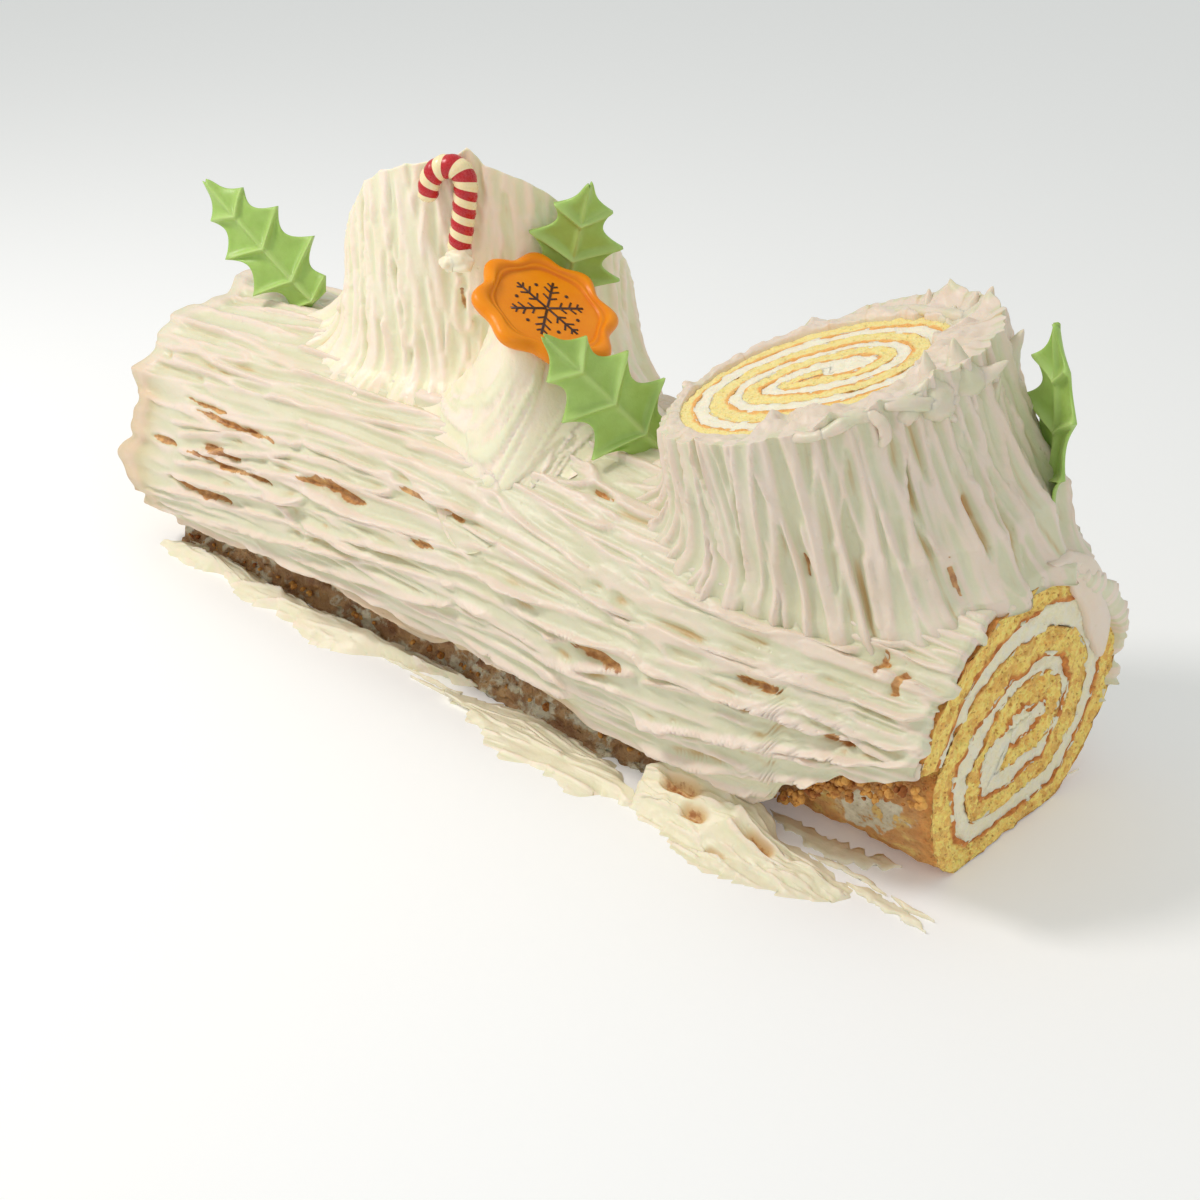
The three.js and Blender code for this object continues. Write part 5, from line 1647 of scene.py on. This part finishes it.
# The smears at the front foot: name, height and outline.
FOOT_CREAM = [
    ("foot_cream_left", 4.6, [
        (-149, -43), (-142, -38), (-132, -37), (-118, -38), (-95, -39.5), (-71, -41), (-49, -41),
        (-30, -39), (-8, -38.5), (-6, -40.5), (-22, -44.5), (-40, -48), (-52, -54), (-63, -55),
        (-78, -50.5), (-96, -51), (-114, -47), (-133, -49.5)]),
    ("foot_cream_middle", 2.6, [
        (-12, -46), (-2, -44.5), (13.6, -40.5), (29, -41), (46, -43.5), (63, -50), (66, -54.5),
        (56, -57), (50, -62), (34, -60), (24, -61.5), (11, -56.5), (0, -51)]),
    ("foot_cream_right", 9.5, [
        (62, -51), (66, -46), (80, -43), (96, -41), (106, -41), (113, -42), (121, -45), (128, -47),
        (129, -51), (124, -56), (110, -61), (100, -64), (87, -64), (78, -60.5), (69, -58)]),
]
# Hollows torn in the right-hand smear: place, length and width.
CAVES = [(84, -52.5, 7, 2.6), (103, -50.5, 8, 2.2), (95, -58, 5, 1.6), (77, -48.5, 12, 3.4)]
FOOT_SIDES, FOOT_ROWS = 280, 44
FOOT_STROKES = 34


def make_foot_cream(name, high, outline, seed, finish):
    """A smear of cream on the board: a torn wavy edge, a heap along the middle, knife marks in it."""
    loop = curve_through(outline + outline[:1], FOOT_SIDES + 1)[0][:-1]
    middle = np.mean(outline, axis=0)
    share = np.linspace(0, 1, FOOT_ROWS)[:, None] ** 0.85
    wave = (1.8 * grain(loop[:, 0] / 5, loop[:, 1] / 5, 0, seed)
            + 1.3 * grain(loop[:, 0] / 1.9, loop[:, 1] / 1.9, 0, seed + 1))[None, :] * (1 - share) ** 2
    x = mix(loop[None, :, 0], middle[0], share * 0.1) + 0.7 * wave
    y = mix(loop[None, :, 1], middle[1], share) + 0.8 * wave
    sheet = float(high > 8)              # the one that runs down from the coat's edge
    base = high * (0.8 + 0.28 * rough_grain(x / 12, y / 7, 0, seed + 2, 2))
    slope = 8.0 * smooth(y, -60, -44) * (1 - smooth(x, 92, 114))
    base = mix(base, 1.8 + slope + 1.2 * rough_grain(x / 9, y / 5, 0, seed + 2, 3), sheet)
    cream = Spread(x, y, 0.3 * grain(x / 9, y / 1.6, 0, seed + 3), seed + 4)
    dice = cream.dice
    for _ in range(FOOT_STROKES):
        across = dice.uniform(y.min(), y.max())
        start = dice.uniform(x.min() - 10, x.max())
        end = start + dice.uniform(12, 46)
        if dice.random() < 0.4:
            start, end = end, start
        line = wandering(across, dice.normal(-0.05, 0.12), (start + end) / 2, 0.8, random_seed(dice), 14)
        cream.stroke(start, end, line, dice.uniform(0.9, 2.4), dice.uniform(-0.4, 0.6),
                     dice.uniform(0.7, 1.3), dice.uniform(0.7, 1.4), dice.uniform(0.3, 1.2), fade=4.0)
    scale = min(1.0, high / 4.4)
    under_coat = smooth(loop[None, :, 1], -54, -47) * sheet * (1 - smooth(loop[None, :, 0], 94, 108))
    fall = mix(1 - (1 - share) ** 1.7, 1.0, under_coat)
    caves = sum(np.exp(-((x - cave_x) / (0.5 * long)) ** 4 - ((y - cave_y) / (0.5 * wide)) ** 4)
                for cave_x, cave_y, long, wide in CAVES) * sheet
    z = base * fall + cream.height * scale * smooth(share, 0, 0.25) - 3.0 * caves
    z = np.where(share > 0, np.clip(z, 0.15, high * 1.25), 0.0)
    points = np.stack([x, y + cream.lean * scale * smooth(share, 0, 0.3), z], -1)
    faces = round_faces(*x.shape)
    normal = np.cross(points[1, 0] - points[0, 0], points[0, 1] - points[0, 0])
    # the caves are painted tan and crumb brown as painted shade; the rest gets a little groove tan in its
    # troughs and a weaker painted highlight
    marks = {"hollow": 0.2 * smooth(-cream.height, 0, 1.5) + 0.9 * np.sqrt(caves), "bare": caves * 0.55,
             "crest": 0.22 + 0.5 * cream.marks()["crest"]}
    piece(name + "_smear", points, faces if normal[2] < 0 else faces[:, ::-1], finish, marks, "cream",
          [name])


# Thin streaks of cream wiped over the board: points along each, and half width.
STREAKS = [
    ([(112, -41.6), (120, -41), (129, -41.4), (136, -43)], 1.5),
    ([(126, -45.5), (137, -45.6), (146, -47.0), (150.5, -48.5)], 2.6),
    ([(137, -42.4), (144, -43.4), (150, -43.8)], 1.6),
    ([(94, -33), (106, -35.4), (120, -35.4), (133, -31)], 4.0),
    ([(140, -21), (142.6, -17), (144, -13)], 1.6), ([(145.6, 31), (147.2, 36)], 1.6),
    ([(-24, -49), (-10, -48.6), (4, -50)], 1.0), ([(-40, -46.6), (-22, -46.2), (-6, -47)], 0.9),
    ([(50, -52), (62, -53.4), (76, -57)], 1.4),
]
STREAK_POINTS, STREAK_COLUMNS = 46, 8


def make_streaks(finish):
    """Thin torn streaks, thickest along their middles."""
    parts = []
    for number, (line, half) in enumerate(STREAKS):
        line, run = curve_through(line, STREAK_POINTS)
        ahead = units(np.gradient(line, axis=0))
        k = np.linspace(-1, 1, STREAK_COLUMNS)[None, :]
        ends = np.minimum(run, run[-1] - run)[:, None]
        torn = half * (0.75 + 0.5 * rough_grain(run[:, None] / 2.6, k * 0.8, 0, 150 + number, 3))
        torn = torn * smooth(ends, -0.5, 5) * (0.5 + 0.5 * smooth(ends, 0, 12))
        x = line[:, :1] - ahead[:, 1:2] * k * torn
        y = line[:, 1:2] + ahead[:, :1] * k * torn
        z = 0.12 + (0.6 + 0.4 * rough_grain(x / 4, y / 1.2, 0, 170 + number, 2)) * np.sqrt(1 - 0.98 * k * k)
        sides = [np.stack([x, y, height], -1) for height in (0 * z, np.maximum(z, 0.1))]
        parts.append(block(np.stack(sides, 2))[:2])
    points, faces = joined(parts)
    # a middling share of painted highlight, and no groove tan
    piece("board_streaks_cream", points, faces, finish, {"hollow": 0, "bare": 0, "crest": 0.5}, "cream",
          ["foot_cream_right"])


SOAKED_ALONG = (-142, 63)  # where the dark brown foot runs, soaking wet and in painted shade, how high it is, and its front and back
SOAKED_HIGH = 12.0
SOAKED_FRONT, SOAKED_BACK = -38.0, -26.0
SOAKED_COLUMNS, SOAKED_ROWS = 235, 20


def make_soaked_and_shaded_foot(finish):
    """The crumbling foot of the log's front, under the coat's overhanging edge, dark brown all over: soaking
    wet crumb, and painted shade under the edge.
    """
    x = np.linspace(*SOAKED_ALONG, SOAKED_COLUMNS)[:, None, None]
    up = np.linspace(0, 1, SOAKED_ROWS)[None, :, None]
    depth = np.array([0.0, 0.5, 1.0])[None, None, :]
    z = up ** 1.5 * SOAKED_HIGH + 0.0 * x
    lumps = rough_grain(x / 3.0, up * 6, 0, 55, 4)
    foot = 4.0 + 1.5 * grain(x / 17, 2, 0, 56)
    face = SOAKED_FRONT - foot * (1 - up) ** 1.6 + 1.1 * lumps - 0.8 * grain(x / 19, 4, 0, 57)
    z = z + 0.8 * rough_grain(x / 2.4, up * 7, 3, 54, 3) * smooth(up, 0, 0.15)
    z = np.maximum(z, 0)
    y = mix(face, SOAKED_BACK + 0 * face, depth)
    flat, faces, _ = block(np.stack(np.broadcast_arrays(x, y, z), -1))
    x, _, z = flat.T
    clear = 0.55 * grain(x / 9, z / 2.5, 0, 58) + 0.25 * grain(x / 2, z, 0, 59)
    # all dark brown, soaking and painted shade, with cream smeared over it
    marks = {"skin": 1, "soak_and_shade": 1, "smear": 0.66 + clear}
    piece("soaked_and_shaded_foot_sponge", flat, faces, finish, marks, "sponge", ["log_sponge"])


# ---------------------------------------------------------------- the cake

make_camera()
make_studio()

ivory = cream_finish("cream", 1.0)
# the log's cream and the right stump's cream: the same cream painted a little darker, as painted shade where
# less light falls on the right of the cake
shaded_log_ivory = cream_finish("log_cream", 0.925)
shaded_stump_ivory = cream_finish("right_stump_cream", 0.915)
log_sponge = sponge_finish("log_sponge", (255, 232, 132), (244, 196, 100), (232, 150, 74), (170, 92, 36),
                           wet=True)
stump_sponge = sponge_finish("stump_sponge", (255, 238, 168), (255, 224, 138), (255, 196, 118),
                             (250, 168, 88))
log_filling = filling_finish("log_filling", (240, 230, 190), (234, 228, 210))
stump_filling = filling_finish("stump_filling", (253, 238, 206), (255, 246, 226))
leaf_green = leaf_finish()

make_rolls((log_sponge, log_filling), (stump_sponge, stump_filling))
make_log_coat(shaded_log_ivory)
make_flap(shaded_log_ivory)
make_right_stump_coat(shaded_stump_ivory)
make_rim_tips(shaded_stump_ivory)
make_left_stump_coat(ivory)
make_seal_bed(ivory)
for number in range(len(LEAVES)):
    make_leaf(number, leaf_green)
make_seal(seal_finish())
make_snowflake(motif_finish())
make_cane(cane_finish())
# a little groove tan, partly painted shade, and a middling share of painted highlight
make_lumps("cane_foot_cream", CANE_FOOT, ivory, 3, 0.3, "cream", ["cream_coat"],
           {"hollow": 0.1, "bare": 0, "crest": 0.5})
make_soaked_and_shaded_foot(log_sponge)
make_front_crumbs(crumb_finish())
for order, (foot_name, foot_high, foot_outline) in enumerate(FOOT_CREAM):
    make_foot_cream(foot_name, foot_high, foot_outline, 40 + 7 * order, ivory)
make_streaks(ivory)
